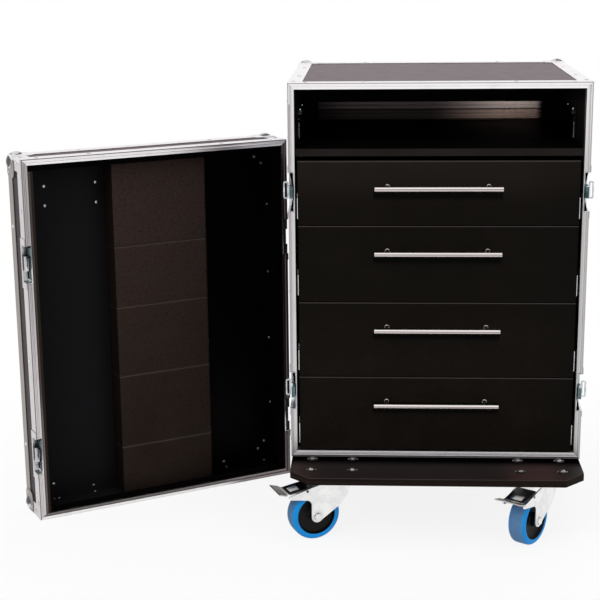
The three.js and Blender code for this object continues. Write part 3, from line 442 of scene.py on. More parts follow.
def placeBoxes():  # the lid from its face panel's box, which touches the panel's own corners
    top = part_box("case_top_panel")
    across, foot = middleX - case["width"] / 2, top[1].z + case["skin"] - case["height"]
    case["corner"] = (across, top[0].y - case["web"], foot)
    low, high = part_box("lid_face_panel")
    cosine, sine = math.cos(lid["turn"]), math.sin(lid["turn"])
    across, inner = lid["width"] - case["skin"], lid["depth"] - case["skin"] - lid["panel"]
    x = high.x - across * cosine + inner * sine
    lid["corner"] = (x, low.y - case["skin"] * sine - inner * cosine, 0)
    for box in (case, lid):
        box["local"] = axesAt(box["corner"], (math.cos(box["turn"]), math.sin(box["turn"]), 0))


placeBoxes()
inCase, inLid = case["local"], lid["local"]


def facing(box, normal):  # a direction given along a box's own axes
    return box["local"](normal) - box["local"]((0, 0, 0))


def boxFinish(name, box):  # a finish, and how far a point lies in from each pair of a box's outer faces
    look = Finish(name, box["corner"], box["turn"])
    x, y, z = look.parts
    return look, x.least(box["width"] - x), box["depth"] - y, z.least(box["height"] - z)


def fromLatch(z):  # height above the middle of the upper latch, or of the lower one in the lower half
    upper, lower = latch["upper"], latch["lower"]
    return z - (z > (upper + lower) / 2) * (upper - lower) - lower


# Laminated plywood: embossed dark laminate outside, black laminate inside, plies between
laminate = {
    "tone": (0.098, 0.064, 0.079),
    # The lid's tones are a darker copy of the case's: painted shade on the lid's outside
    "shares": {"case": (0.86, 0.8, 0.86), "lid": (0.36, 0.3, 0.32)},  # of the tone: clouds, flecks last
    "gloss": {"case": 0.22, "lid": 0.13},
    # painted light on the lid's top faces
    "lidTop": ((0.084, 0.054, 0.067), (0.074, 0.048, 0.06)),
    "plies": ((0.2, 0.12, 0.07), (0.32, 0.21, 0.13)),
    "black": ((0.0042, 0.0042, 0.005), (0.0066, 0.0066, 0.0078)),
    "depths": (2.4 * mm, 10.3 * mm),  # where the plies and the black laminate begin
}


def laminateFinish(box):
    look, fromX, fromY, fromZ = boxFinish(f"laminate on the {box['name']}", box)
    x, z = look.parts[::2]
    depth = fromX.least(fromY).least(fromZ)
    plies, inside = (depth.step(start - 0.1 * mm, start + 0.1 * mm) for start in laminate["depths"])
    cloud = look.noise(9, 3)
    fleck = look.noise(900)
    shares = laminate["shares"][box["name"]]
    low, high, flecks = ([share * value for value in laminate["tone"]] for share in shares)
    outer = look.blend(fleck.step(0.55, 0.75), look.blend(cloud, low, high), flecks)
    black = look.blend(cloud, *laminate["black"])
    black = look.blend(fleck.step(0.6, 0.8), black, (0.01, 0.01, 0.0115))
    # On the lid: painted light on its top faces and on its black inside, fading to painted shade towards its
    # right
    if box is lid:
        outer = look.blend(z > box["height"] - 4 * mm, outer, look.blend(cloud, *laminate["lidTop"]))
        black = look.blend(0.55, black, (0.0105, 0.01, 0.011))
        black = look.blend(x.step(0.2, 0.4), black, (0.0008, 0.0008, 0.0008))
    color = look.blend(plies, outer, look.blend(look.noise(600), *laminate["plies"]))
    normal = look.bump(look.cells(620), 0.12 * mm, 0.5, look.bump(cloud, 0.4 * mm, 0.3))
    mottle = look.noise(40)
    gloss = laminate["gloss"][box["name"]]
    outside = look.surface(color, mottle * 0.12 + 0.42, normal=normal, specular=gloss)
    within = look.surface(black, mottle * 0.14 + 0.46, normal=normal, specular=0.03)
    return look.done(look.layers(inside, outside, within))


# Extruded aluminium: fine lines along each profile, a mitre where two meet, a little dirt, and a dull
# line behind each front arris. Its tones are lit and shaded copies of one metal: painted light on top
# faces, painted light and shade by height up the fronts, painted shade on the outer band of the case's
# left upright, on the right uprights and on the lid's rear angle, and painted reflections and shade on the
# foot
tones = {
    "case": {
        "top": (0.9, 0.88, 0.89), "side": (0.6, 0.59, 0.59), "band": (0.4, 0.35, 0.36),
        "right": (0.45, 0.44, 0.43), "high": (0.76, 0.75, 0.74), "base": (1, 0.97, 0.99),
        "under": (0.02, 0.018, 0.018), "bright": (0.92, 0.92, 0.92), "dull": (0.4, 0.36, 0.38),
        "dark": (0.12, 0.11, 0.11),
    },
    "lid": {
        "top": (0.86, 0.83, 0.85), "side": (0.38, 0.35, 0.36), "low": (0.6, 0.57, 0.58),
        "rear": (0.23, 0.2, 0.18), "base": (0.95, 0.93, 0.93), "inner": (0.13, 0.115, 0.11),
        "shade": (0.24, 0.195, 0.2), "right": (0.06, 0.042, 0.041), "plain": (0.62, 0.6, 0.61),
        "bright": (0.8, 0.78, 0.79), "dull": (0.17, 0.145, 0.145), "dark": (0.09, 0.06, 0.06),
    },
}
skinned = 1.2 * mm  # within the thickness of a profile's outer skin


def aluminiumFinish(box):
    look, fromX, fromY, fromZ = boxFinish(f"aluminium on the {box['name']}", box)
    x, y, z = look.parts
    tone = tones[box["name"]]
    deep, upright, across = (900, 6, 900), (900, 900, 6), (6, 900, 900)
    scales = look.either(fromZ > fromX.most(fromY), deep, upright)
    streaks = look.grain(look.either(fromX > fromY.most(fromZ), scales, across), 3, 0.6)
    smears = look.noise(28, 4, 0.65)
    fromTop = box["height"] - z
    face = y < skinned
    foot = face * (z < fromX)
    onRight = x > box["width"] - 13 * mm
    above = (fromTop < 27.3 * mm) * (1 - (y < 8 * mm) * (fromTop > fromX))
    if box is lid:
        above = above * (1 - (x < skinned) * (fromTop > 7 * mm))
        base = look.coats(tone["base"], (z > 7.4 * mm, tone["inner"]), (x.step(0.4, 0.46), tone["shade"]))
        side = look.coats(
            tone["low"],
            (face * z.step(0.2, 0.62), tone["side"]),
            ((x < skinned) * (y > 45 * mm), tone["rear"]),
            (foot, base),
            (onRight * (y < 8 * mm) * (1 - foot), tone["right"]),
            (y > box["depth"] - 1.5 * mm, tone["plain"]),
        )
        dullness = 0.3
    else:
        base = look.coats(tone["under"], (z > 4 * mm, tone["base"]),
                          (z.near(9.2 * mm, 0.6 * mm) * 0.8, tone["dull"]))
        side = look.coats(
            tone["side"],
            (face * z.step(0.52, 0.72), tone["high"]),
            (face * (x < 4.6 * mm) * (z < 0.7), tone["band"]),
            (face * onRight * (1 - z.step(0.5, 0.7)), tone["right"]),
            (foot, base),
        )
        dullness = 0.65
    metal = look.coats(
        side,
        (above, tone["top"]),
        (streaks.step(0.3, 0.8) * 0.175, tone["bright"]),
        (smears.step(0.5, 0.85) * 0.25, tone["dull"]),
        (face * fromX.least(fromZ).near(1.3 * mm, 0.9 * mm) * (1 - foot * 0.8), tone["dull"]),
        ((fromX - fromZ).near(0, 0.14 * mm) * (fromY > 30 * mm), tone["dark"]),
    )
    if box is lid:
        metal = keeperFinish(look, metal, fromX)
    dull = foot * dullness
    rough = 0.22 + streaks * 0.14 + smears * 0.1 + dull * 0.3
    return look.shade(metal, rough, 1 - dull, look.bump(streaks, 0.02 * mm, 0.6))


# A keeper let into the lid's upright, with painted shade: its pan bright at its lower end and dark teal
# higher up, dark slots in it, and a black gap above it
keeper = {
    "middle": 7.2 * mm, "half": 4.6 * mm, "reach": 37.5 * mm,
    "tones": ((0.8, 0.82, 0.82), (0.2, 0.245, 0.26)), "patches": (0.09, 0.12, 0.13),
    "slots": (  # across and up from the middle of a latch, half the width and height, in mm, and colour
        (8, 23, 1.1, 11, (0.008, 0.013, 0.014)), (5.9, 3, 0.8, 11, (0.012, 0.024, 0.024)),
        (9.6, 3.5, 0.8, 12, (0.01, 0.014, 0.032)), (8.9, -20, 0.8, 12, (0.012, 0.022, 0.022)),
        (7.2, 35.5, 3.4, 2, (0.001, 0.001, 0.001)),
    ),
}


def keeperFinish(look, metal, u):
    y, z = look.parts[1:]
    v = fromLatch(z)
    pan = v.near(0, keeper["reach"]) * u.near(keeper["middle"], keeper["half"]) * (y < 25 * mm)
    patches = look.grain((160, 160, 70)).step(0.52, 0.66)
    tone = look.blend(v.step(-14 * mm, 20 * mm), *keeper["tones"])
    tone = look.blend(patches * 0.6, tone, keeper["patches"])
    for across, height, half, reach, dark in keeper["slots"]:
        tone = look.blend(u.near(across * mm, half * mm) * v.near(height * mm, reach * mm), tone, dark)
    return look.blend(pan, metal, tone)


# Zinc plated steel: soft cloudy spangle and faint scratches between two tones
def zincFinish(name="zinc plated steel", low=(0.7, 0.72, 0.74), high=(0.9, 0.9, 0.9), roughness=0.22):
    look = Finish(name)
    spangle = look.split(look.cells(260, "Color"))[0]
    cloud = look.noise(55, 3)
    scratches = look.grain((1400, 90, 240))
    metal = look.coats(low, (cloud.step(0.3, 0.7), high), (spangle * 0.2, low))
    rough = roughness + cloud * 0.14 + scratches.step(0.6, 0.8) * 0.1
    return look.shade(metal, rough, 1, look.bump(scratches, 0.02 * mm, 0.4))


# Brushed steel bar, brushed round, a little warm, with a painted highlight on its upper half and a
# painted dark reflection along its middle
def barFinish(node):
    low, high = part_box(node)
    look = Finish(f"brushed steel of {node}", (0, 0, (low.z + high.z) / 2))
    z = look.parts[2]
    lines = look.grain((9, 1100, 1100), 3, 0.6)
    metal = look.coats(
        (0.48, 0.42, 0.415), (lines.step(0.3, 0.7), (0.78, 0.71, 0.7)),
        ((z > 1.6 * mm) * 0.7, (0.97, 0.91, 0.9)),
        (z.near(0.5 * mm, 1 * mm) * 0.75, (0.2, 0.17, 0.165)),
    )
    rough = 0.16 + lines * 0.1 + look.noise(30, 3) * 0.06
    return look.shade(metal, rough, 1, look.bump(lines, 0.02 * mm, 0.5))


# Black laminated plywood of the inner boards and drawers, with painted light where it catches the light:
# on front faces, more so higher up, and a painted highlight along a drawer's upper arris. Painted shade
# on a band of middle heights and towards a drawer's right, and a painted shadow under its bar. Zinc where
# a runner is fused to it, further out than an offset from the middle, or further in
def blackFinish(name, pale=(0.0072, 0.0056, 0.0042), frontTo=19 * mm, barAndTop=None, runner=None):
    look = Finish(name, case["corner"])
    x, y, z = look.parts
    fromMiddle = (x - case["width"] / 2).size()
    cloud = look.noise(14, 3)
    specks = look.noise(420)
    front = y < frontTo
    black = look.coats(
        (0.0015, 0.0014, 0.0013), (front, pale),
        (front * z.step(0.47, 0.59) * 0.5, (0.021, 0.0165, 0.015)),
        (front * cloud.step(0.45, 0.7) * 0.5, (0.011, 0.0085, 0.0075)),
        (front * specks.step(0.58, 0.78), (0.016, 0.013, 0.0115)),
        (front * z.step(0.22, 0.34) * (1 - z.step(0.5, 0.56)) * 0.45, (0.004, 0.0034, 0.0026)),
    )
    # Painted shade towards a drawer's right, a painted shadow under its bar, a painted highlight on its arris
    if barAndTop:
        under, top = barAndTop
        shadow = z.step(under - 25 * mm, under - 14 * mm) * (z < under + 2 * mm) * (fromMiddle < 123 * mm)
        black = look.coats(
            black, (front * x.step(0.42, 0.54) * 0.5, (0.005, 0.0042, 0.0034)),
            (front * shadow * 0.85, (0.0004, 0.0004, 0.0003)),
            (front * z.near(top, 1.3 * mm), (0.06, 0.05, 0.049)),
        )
    rough = 0.5 + cloud * 0.15
    zinc = 0
    if runner:
        offset, outward, behind = runner
        zinc = (fromMiddle > offset if outward else fromMiddle < offset) * (y > behind)
        black = look.blend(zinc, black, (0.6, 0.61, 0.63))
        rough = rough - zinc * 0.28
    normal = look.bump(look.cells(700), 0.05 * mm, 0.4, look.bump(cloud, 0.3 * mm, 0.25))
    return look.shade(black, rough, zinc, normal, specular=0.03)


# Film-faced plywood of the base board: dark brown film with painted warm light between the case and the
# castors, painted shadow towards the case, a painted highlight along its top arris, plies at its edges
glow = ((0.19, 0.02, 0.075, 1), (-0.27, 0.01, 0.06, 0.6))  # place across, where it fades, strength


def boardFinish():
    look = Finish("film faced board", (0, case["corner"][1], board[0].z))
    x, y, z = look.parts
    fromTop = board[1].z - board[0].z - z
    edge = (z > 0.6 * mm) * (fromTop > 1.3 * mm)
    grain = look.grain((14, 160, 160), 4, 0.6)
    plies = look.grain((6, 6, 900), 1)
    lights = [(1 - (x - middleX - spot).size().step(low, high)) * share for spot, low, high, share in glow]
    color = look.coats(
        look.blend(grain, (0.012, 0.0085, 0.008), (0.021, 0.016, 0.015)),
        (edge, look.blend(plies.step(0.35, 0.65), (0.008, 0.005, 0.004), (0.02, 0.013, 0.0105))),
        (lights[0].most(lights[1]) * 0.55 * (1 - edge), (0.06, 0.032, 0.03)),
        ((fromTop < 1.3 * mm) * (fromTop > 0.5 * mm), (0.06, 0.05, 0.046)),
    )
    normal = look.bump(grain, 0.15 * mm, 0.4)
    lit = look.surface(color, 0.4 + grain * 0.14 + edge * 0.2, normal=normal, specular=0.06)
    shadow = look.surface((0.0008, 0.0006, 0.0006), 0.9, normal=normal, specular=0)
    return look.done(look.layers(y.step(-60 * mm, -16 * mm), lit, shadow))


# Elastic blue rubber, dusty where it rolls
def tyreFinish(name, centre, axis):
    look = Finish(name, centre, math.atan2(axis[1], axis[0]))
    y, z = look.parts[1:]
    tread = (y * y + z * z).maths("SQRT").step(48.5 * mm, 49.8 * mm)
    dust = look.noise(130, 4, 0.65)
    blue = look.blend(look.noise(30), (0.003, 0.27, 0.74), (0.005, 0.33, 0.88))
    worn = look.blend(dust.step(0.35, 0.75), (0.11, 0.21, 0.36), (0.19, 0.215, 0.26))
    rough = 0.48 + dust * 0.2 + tread * 0.12
    color = look.blend(tread * 0.75, blue, worn)
    return look.shade(color, rough, normal=look.bump(dust, 0.12 * mm, 0.4), specular=0.3)


# Moulded black plastic with a fine spark texture
def plasticFinish(name, color=(0.0065, 0.0062, 0.0062), roughness=0.42):
    look = Finish(name)
    cloud = look.noise(45, 3)
    low, high = ([share * value for value in color] for share in (0.8, 1.3))
    normal = look.bump(look.noise(900), 0.05 * mm, 0.5)
    return look.shade(look.blend(cloud, low, high), roughness + cloud * 0.15, normal=normal, specular=0.15)


# Panels of the case and of the lid
def makePanels():
    for box in (case, lid):
        finish = laminateFinish(box)
        for panel in box["panels"]:
            softened(f"{box['name']}_{panel}", finish, 0.25)


# Closing rims and edge angles, and a smooth ball over each corner
corner = {"radius": 20 * mm, "stand": 6 * mm, "skin": 1.5 * mm}


# A ball: what would lie inside the corner is drawn in towards it, to the backs of the three plates
def ball(box, atRight, atTop):
    sunk = corner["radius"] - corner["stand"]
    face = np.array([box["width"] * atRight, box["depth"], box["height"] * atTop])
    outward = np.array([2 * atRight - 1, 1, 2 * atTop - 1])
    tilt = np.linspace(0, np.pi, 49)[:, None]
    angle = np.linspace(0, 2 * np.pi, 96, endpoint=False)[None]
    rise = np.cos(tilt) * np.ones_like(angle)
    sphere = np.stack([np.sin(tilt) * np.cos(angle), np.sin(tilt) * np.sin(angle), rise], -1)
    inset = sunk - corner["radius"] * sphere * outward  # how far in from each of the corner's faces
    least = inset.min(-1, keepdims=True)
    share = np.where(least > corner["skin"], corner["skin"] / np.maximum(least, corner["skin"]), 1)
    points = face - outward * inset * share
    if not atTop:
        points[..., 2] = np.maximum(points[..., 2], 0)
    return grid(box["local"](points), False, True)


# Polished steel: painted reflections of a dark sky in patches
def chromeFinish():
    look = Finish("polished steel")
    patches = look.noise(42, 2, 0.4)
    pits = look.noise(900)
    metal = look.blend(patches.step(0.5, 0.6), (0.1, 0.1, 0.105), (0.66, 0.66, 0.67))
    return look.shade(metal, 0.16 + pits * 0.08, 1, look.bump(pits, 0.02 * mm, 0.4))


# Planes that cut a frame into pieces: through its middle, and above, at and below each latch
def frameCuts(box):
    start = Vector(box["corner"])
    across = Vector((math.cos(box["turn"]), math.sin(box["turn"]), 0))
    offsets = [latch[level] + side * latch["cuts"] for level in levels for side in (-1, 0, 1)]
    heights = [start + Vector((0, 0, height)) for height in (*offsets, box["height"] / 2)]
    return [(start + across * box["width"] / 2, across), *((point, Vector((0, 0, 1))) for point in heights)]


def makeProfiles():
    for box in (case, lid):
        metal = aluminiumFinish(box)
        softened(box["rim"], metal, 0.14, cuts=frameCuts(box))
        softened(f"{box['name']}_edge_frame", metal, 0.35, cuts=frameCuts(box))
    steel = chromeFinish()
    for box in (case, lid):
        for atRight, atTop in ((0, 0), (0, 1), (1, 0), (1, 1)):
            place = f"{('bottom', 'top')[atTop]}_{('left', 'right')[atRight]}"
            shape = ball(box, atRight, atTop)
            extra(f"{box['name']}_ball_{place}", [shape], steel, box["name"], "aluminium_profile", sharp=60)


# A lip round the inside of the lid, behind its rim
lip = {"outer": 10.7 * mm, "inner": 24.5 * mm, "near": 6.4 * mm, "far": 7.9 * mm}


def lipFinish():
    look = Finish("lip inside the lid", lid["corner"], lid["turn"])
    x, z = look.parts[::2]
    mottle = look.grain((300, 300, 20), 3)
    # Painted light on the lip's left side, and a painted highlight line along it, brightest low down
    lit = (x < 25 * mm) * (z < lid["height"] - 25 * mm)
    pale = look.blend(z.step(0.16, 0.3), (0.3, 0.25, 0.24), (0.13, 0.11, 0.1))
    tone = look.coats(
        (0.0012, 0.001, 0.001), (lit, (0.03, 0.022, 0.019)),
        (x.near(17 * mm, 1.9 * mm) * lit * (0.5 + mottle * 0.5), pale),
    )
    return look.shade(tone, 0.55 + mottle * 0.1, normal=look.bump(mottle, 0.05 * mm, 0.4), specular=0.01)


def makeLip():
    loops = []
    for inset, depth in (("outer", "near"), ("outer", "far"), ("inner", "far"), ("inner", "near")):
        inset, depth = lip[inset], lip[depth]
        right, top = lid["width"] - inset, lid["height"] - inset
        loops.append([(x, depth, z) for x, z in ((inset, inset), (right, inset), (right, top), (inset, top))])
    shape = grid(inLid(np.array(loops)), True, True)
    extra("lid_inner_lip", [shape], lipFinish(), "lid", "handle_black", bevel=0.4)


# The front walls of the right keepers' pans, low where a hook passes: dark sheets that paint the shade
# in those pans
wall = {  # heights and depths in from the lid's side, in mm
    "outline": ((-37, 0.4), (-16, 0.4), (-16, 3.4), (16, 3.4), (16, 0.4), (37, 0.4), (37, 11.7), (-37, 11.7)),
    "near": 0.8 * mm, "far": 1.6 * mm,
}


def makeKeeperWalls():
    shapes = []
    for level in levels:
        outline = [(lid["width"] - u * mm, latch[level] + v * mm) for v, u in wall["outline"]]
        shapes.append(plate(outline, wall["near"], wall["far"], inLid))
    finish = plasticFinish("shaded keeper", (0.02, 0.015, 0.015), 0.5)
    extra("lid_keeper_walls", shapes, finish, "lid")


# Inside of the case
def makeInside():
    for side in sides:
        softened(f"runner_liner_{side}", blackFinish("liner", runner=(270.8 * mm, False, 0)), 0.2)
    softened("top_shelf", blackFinish("shelf", (0.015, 0.0122, 0.0122), 5.8 * mm), 0.4)
    softened("rear_rail", railFinish(), 0.3)


# The rail: painted light and reflections on its ridges towards the right, where the light reaches them,
# brighter above its groove, painted shade at both its ends, and dark along its groove and its foot
def railFinish():
    look = Finish("rail aluminium", case["corner"])
    x, z = look.parts[::2]
    lines = look.grain((5, 900, 900), 3, 0.6)
    patches = look.noise(24, 4, 0.65)
    low, high = (end.z - case["corner"][2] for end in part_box("rear_rail"))
    groove = low + 0.58 * (high - low)
    lit = x.step(0.28, 0.5)
    upper = z > groove
    metal = look.coats(
        look.blend(upper, (0.04, 0.033, 0.032), (0.125, 0.098, 0.1)),
        (lit, look.blend(upper, (0.9, 0.63, 0.54), (1, 0.82, 0.75))),
        (lines.step(0.4, 0.72) * 0.3, (0.02, 0.014, 0.013)),
        (patches.step(0.5, 0.9) * 0.2, (0.06, 0.045, 0.04)),
        (x.step(0.512, 0.528), (0.012, 0.01, 0.009)),
        (0.75 - x.step(0.02, 0.12) * 0.75, (0.006, 0.005, 0.005)),
        (z.near(groove, 1.2 * mm).most(z < low + 3.4 * mm) * 0.85, (0.01, 0.008, 0.008)),
    )
    return look.shade(metal, 0.42 - lit * 0.22 + lines * 0.08, 1, look.bump(lines, 0.02 * mm, 0.5))


# Drawers and their bar handles
bar = {"post": 4 * mm, "foot": 4.5 * mm, "footDepth": 1.4 * mm, "spacing": 192 * mm, "chamfer": 1 * mm}
tab = {"across": (267.5 * mm, 268.9 * mm), "deep": (7 * mm, 20 * mm), "high": (12 * mm, 53 * mm)}


def barHandle(node):
    low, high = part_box(node)
    radius, half, chamfer = (high.z - low.z) / 2, (high.x - low.x) / 2, bar["chamfer"]
    centre = np.array([(low.x + high.x) / 2, low.y + radius, (low.z + high.z) / 2])
    profile = mirrored([(0, -half), (radius - chamfer, -half),
                        (radius - chamfer * 0.3, -half + chamfer * 0.4), (radius, -half + chamfer)])
    reach = high.y - centre[1]
    foot = reach - bar["footDepth"]
    post = [(0, 0), (bar["post"], 0), (bar["post"], foot),
            (bar["foot"], foot), (bar["foot"], reach), (0, reach)]
    places = [centre + (end * bar["spacing"] / 2, 0, 0) for end in (-1, 1)]
    return [turned(profile, centre, (1, 0, 0)), *(turned(post, place, (0, 1, 0), 40) for place in places)]


def makeDrawers():
    zinc = zincFinish("zinc on the runners")
    floor = case["corner"][2]
    (front, rear), (low, high) = tab["deep"], tab["high"]
    for number in range(1, 5):
        node, box = f"drawer_{number}_bar_handle", f"drawer_{number}_box"
        base, top = (end.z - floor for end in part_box(box))
        lit = (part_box(node)[0].z - floor, top)
        black = blackFinish(f"drawer {number}", barAndTop=lit, runner=(261.15 * mm, True, 30 * mm))
        softened(box, black, 0.45)
        standIn(node, barHandle(node), barFinish(node))
        outline = [(front, base + low), (rear, base + low), (rear, base + high), (front, base + high)]
        ends = [[case["width"] / 2 + side * reach for reach in tab["across"]] for side in (-1, 1)]
        tabs = [plate(outline, *end, inCase, (2, 0, 1)) for end in ends]
        extra(f"drawer_{number}_runner_tabs", tabs, zinc, f"drawer_{number}", bevel=0.3)


# Castors, in millimetres where the wheel trails towards -X from the swivel axis
castor = {
    "trail": 41, "axle": 50, "head": 38, "headTop": 118.4, "headBase": 113.9, "headLip": 122.9,
    "kingPin": 6.3, "cheek": (21, 24), "end": 12,
    "tail": (1.6, 2.45),  # of the trail, without and with a brake
    "plate": (105, 82, 8), "plateZ": (124.7, 127.7), "race": 33, "bolts": (80, 60), "tyre": (18, 50, 8),
    "pin": (-61.5, 105), "kneeBend": 7, "pedalWidth": (20.4, 29), "pedalWall": 2.5, "window": (0.3, 0.78),
    "pedal": ((12.3, 6.6), (-41, -2.4), (-59.68, 2.9)),  # heel, knee and tip, from the pin
    "hub": ((5.3, 20.7), (12, 20.7), (13, 19.8), (13, 12), (15, 10), (31, 10), (35, 11.5), (38, 17.2),
            (38.6, 17.4)),
    "nut": ((0, 24), (10, 24), (10, 25), (7.8, 25.1), (7.8, 27.6), (6.8, 28), (0, 28)),
    "pinEnd": ((0, 24.8), (2.1, 24.8), (2.6, 24.3), (2.6, 22), (2.2, 22)),
    "washer": ((0, 0), (9, 0), (9, 1.2), (8.4, 1.6), (0, 1.6)),
    "shoe": ((-62, 103.5), (-64, 102.2), (-92, 97.6), (-94, 98.8), (-92, 99.4), (-64, 104.2)),
    "neck": ((-66, 101.5), (-61, 101.5), (-61, 109.3), (-66, 108.4)), "shoeWidth": 12.5,
}


def footprint(node):  # the middle of a node's box, on the floor
    low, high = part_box(node)
    return np.array([(low.x + high.x) / 2, (low.y + high.y) / 2, 0])


def acrossAt(local, x, z):  # a point in a castor's middle plane, in mm, and the direction across the castor
    centre = local((x * mm, 0, z * mm))
    return centre, local((x * mm, 1, z * mm)) - centre


def lathe(profile, centre, axis, turns, loop=False):  # a profile in mm, turned
    return turned(np.array(profile) * mm, centre, axis, turns, loop)


def cheekOutline(braked):
    trail, axle, end = castor["trail"], castor["axle"], castor["end"]
    lead = math.sqrt(castor["head"] ** 2 - castor["cheek"][1] ** 2)
    tail = -castor["tail"][braked] * trail
    shoulder = castor["headTop"] - 2.25
    rise = 1.84 * axle
    return np.concatenate([
        [(lead, shoulder)],
        curve((0.66 * trail, 2 * axle), (0.45 * trail, 1.55 * axle), (0.15 * trail, 1.35 * axle), 10),
        arc((-trail, axle), end, -41, -180, 20),
        curve((-trail - end, 1.5 * axle), (-trail - end, 1.66 * axle),
              (-trail - 1.7 * end, rise - end / 2), 10),
        [(tail + 2, rise), (tail, rise + 2), (tail, rise + end / 2), (tail / 2, castor["headBase"] - 2.25)],
        [(-lead, shoulder)],
    ])


def fork(local, braked):
    inner, outer = castor["cheek"]
    outline = cheekOutline(braked) * mm
    centre, along = acrossAt(local, -castor["trail"], castor["axle"])
    shapes = [plate(outline, side * inner * mm, side * outer * mm, local) for side in (-1, 1)]
    for side in (-1, 1):
        shapes.append(lathe(castor["nut"][:4], centre, along * side, 40))
        shapes.append(lathe(castor["nut"][3:], centre, along * side, 6))
    return [*shapes, lathe(mirrored([(0, -inner), (5, -inner)]), centre, along, 32)]


def bowl(local):
    head, base, top, lip, pin = (castor[key] for key in ("head", "headBase", "headTop", "headLip", "kingPin"))
    profile = [(pin, base), *arc((head - 5, base + 5), 5, -90, 0, 6), (head, lip - 1), (head - 0.6, lip),
               (head - 2, lip), (head - 2.5, lip - 1), (head - 2.5, top), (pin, top)]
    return lathe(profile, local((0, 0, 0)), (0, 0, 1), 72, True)


def pedalPath():  # the pedal's middle line seen from the side, heel to tip, with a rounded knee
    pin = np.array(castor["pin"])
    heel, knee, tip = (pin + point for point in castor["pedal"])
    before, after = (knee + unit(end - knee) * castor["kneeBend"] for end in (heel, tip))
    ends = [pin[0] - share * castor["trail"] for share in castor["window"]]
    window = [(u, np.interp(u, (before[0], heel[0]), (before[1], heel[1]))) for u in ends]
    return np.array([heel, *window, before, *curve(before, knee, after)[1:], tip]) * mm


# The pedal's sheet: its side line carried across, wider past the cheeks' tails, with a window left out
def pedal(name, local):
    path = pedalPath()
    half, wide = castor["pedalWidth"]
    tail = -castor["tail"][True] * castor["trail"] - castor["pedalWall"]
    width = np.where(path[:, :1] < tail * mm, wide, half) * mm
    rows = np.broadcast_arrays(path[:, :1], width * (-1, -0.62, 0.62, 1), path[:, 1:])
    points, faces = grid(local(np.stack(rows, -1)))
    del faces[4]  # the middle one of the second row's three
    sheet = meshPiece(f"brake_pedal_{name}_finished", points, faces)
    solid = sheet.modifiers.new("wall", "SOLIDIFY")
    solid.thickness = castor["pedalWall"] * mm
    solid.offset = 0
    bevelled(sheet, 0.6)
    return sheet


def makeCastors():
    zinc = zincFinish(low=(0.76, 0.76, 0.76), high=(0.91, 0.91, 0.9), roughness=0.26)
    dark = zincFinish("blackened steel", (0.05, 0.05, 0.05), (0.14, 0.13, 0.13), 0.3)
    # The bowls in a darker copy of the zinc: painted shade
    shadedBowlZinc = zincFinish("shaded zinc on the bowls", (0.5, 0.5, 0.49), (0.78, 0.78, 0.77), 0.28)
    bolts = zincFinish("zinc on the bolts", (0.16, 0.15, 0.15), (0.58, 0.54, 0.53), 0.24)
    plastic = plasticFinish("hub plastic", (0.0026, 0.0024, 0.0023))
    shoe = plasticFinish("brake shoe", (0.8, 0.79, 0.77), 0.5)
    for name in ("front_left", "front_right", "rear_left", "rear_right"):
        pivot, wheel = (footprint(f"castor_{part}_{name}") for part in ("plate", "wheel"))
        local = axesAt(pivot, pivot - wheel)
        braked = name.startswith("front")
        standIn(f"castor_fork_{name}", fork(local, braked), zinc, bevel=0.7, steps=3)
        extra(f"castor_bowl_{name}", [bowl(local)], shadedBowlZinc, f"castor_{name}")
        makeWheel(name, local, plastic)
        makePlate(name, pivot, zinc)
        if braked:
            makeBolts(name, pivot, dark, bolts)
            makePedal(name, local, shoe, dark, math.atan2(*(pivot - wheel)[1::-1]))


def makeWheel(name, local, plastic):
    centre, axis = acrossAt(local, -castor["trail"], castor["axle"])
    half, radius, shoulder = castor["tyre"]
    seat = castor["hub"][-1]
    bend = arc((radius - shoulder, half - shoulder), shoulder, 90, 12)
    tread = mirrored([seat, (seat[0] + 1, half), *bend, (radius, 5), (radius, 0.5)])
    tyre = lathe(tread, centre, axis, 96, True)
    standIn(f"castor_wheel_{name}", [tyre], tyreFinish(f"blue rubber {name}", centre, axis), sharp=50)
    hub = lathe(mirrored(castor["hub"]), centre, axis, 72, True)
    extra(f"castor_hub_{name}", [hub], plastic, f"wheel_{name}", "handle_black")


# The plate, its race, and the king pin with its nut
def makePlate(name, pivot, zinc):
    (width, depth, radius), (low, high) = castor["plate"], castor["plateZ"]
    outline = []
    for signX, signY, start in ((1, -1, -90), (1, 1, 0), (-1, 1, 90), (-1, -1, 180)):
        centre = (signX * (width / 2 - radius), signY * (depth / 2 - radius))
        outline.append(arc(centre, radius, start, start + 90))
    outline = np.concatenate(outline) * mm
    shapes = [plate(outline, low * mm, high * mm, axesAt(pivot, (1, 0, 0)), (0, 1, 2))]
    base, nut, race, seat = castor["headTop"] + 0.3, castor["headBase"] - 0.3, castor["race"], low + 0.5
    ring = [(0, base), (race - 3, base), (race - 0.8, base + 1), (race, base + 3), (race, seat), (0, seat)]
    hexagon = [(0, nut - 5), (9, nut - 5), (10, nut - 4), (10, nut), (0, nut)]
    pin = [(0, nut), (6, nut), (6, base), (0, base)]
    for profile, turns in ((ring, 64), (hexagon, 6), (pin, 32)):
        shapes.append(lathe(profile, pivot, (0, 0, 1), turns))
    standIn(f"castor_plate_{name}", shapes, zinc, bevel=0.6)


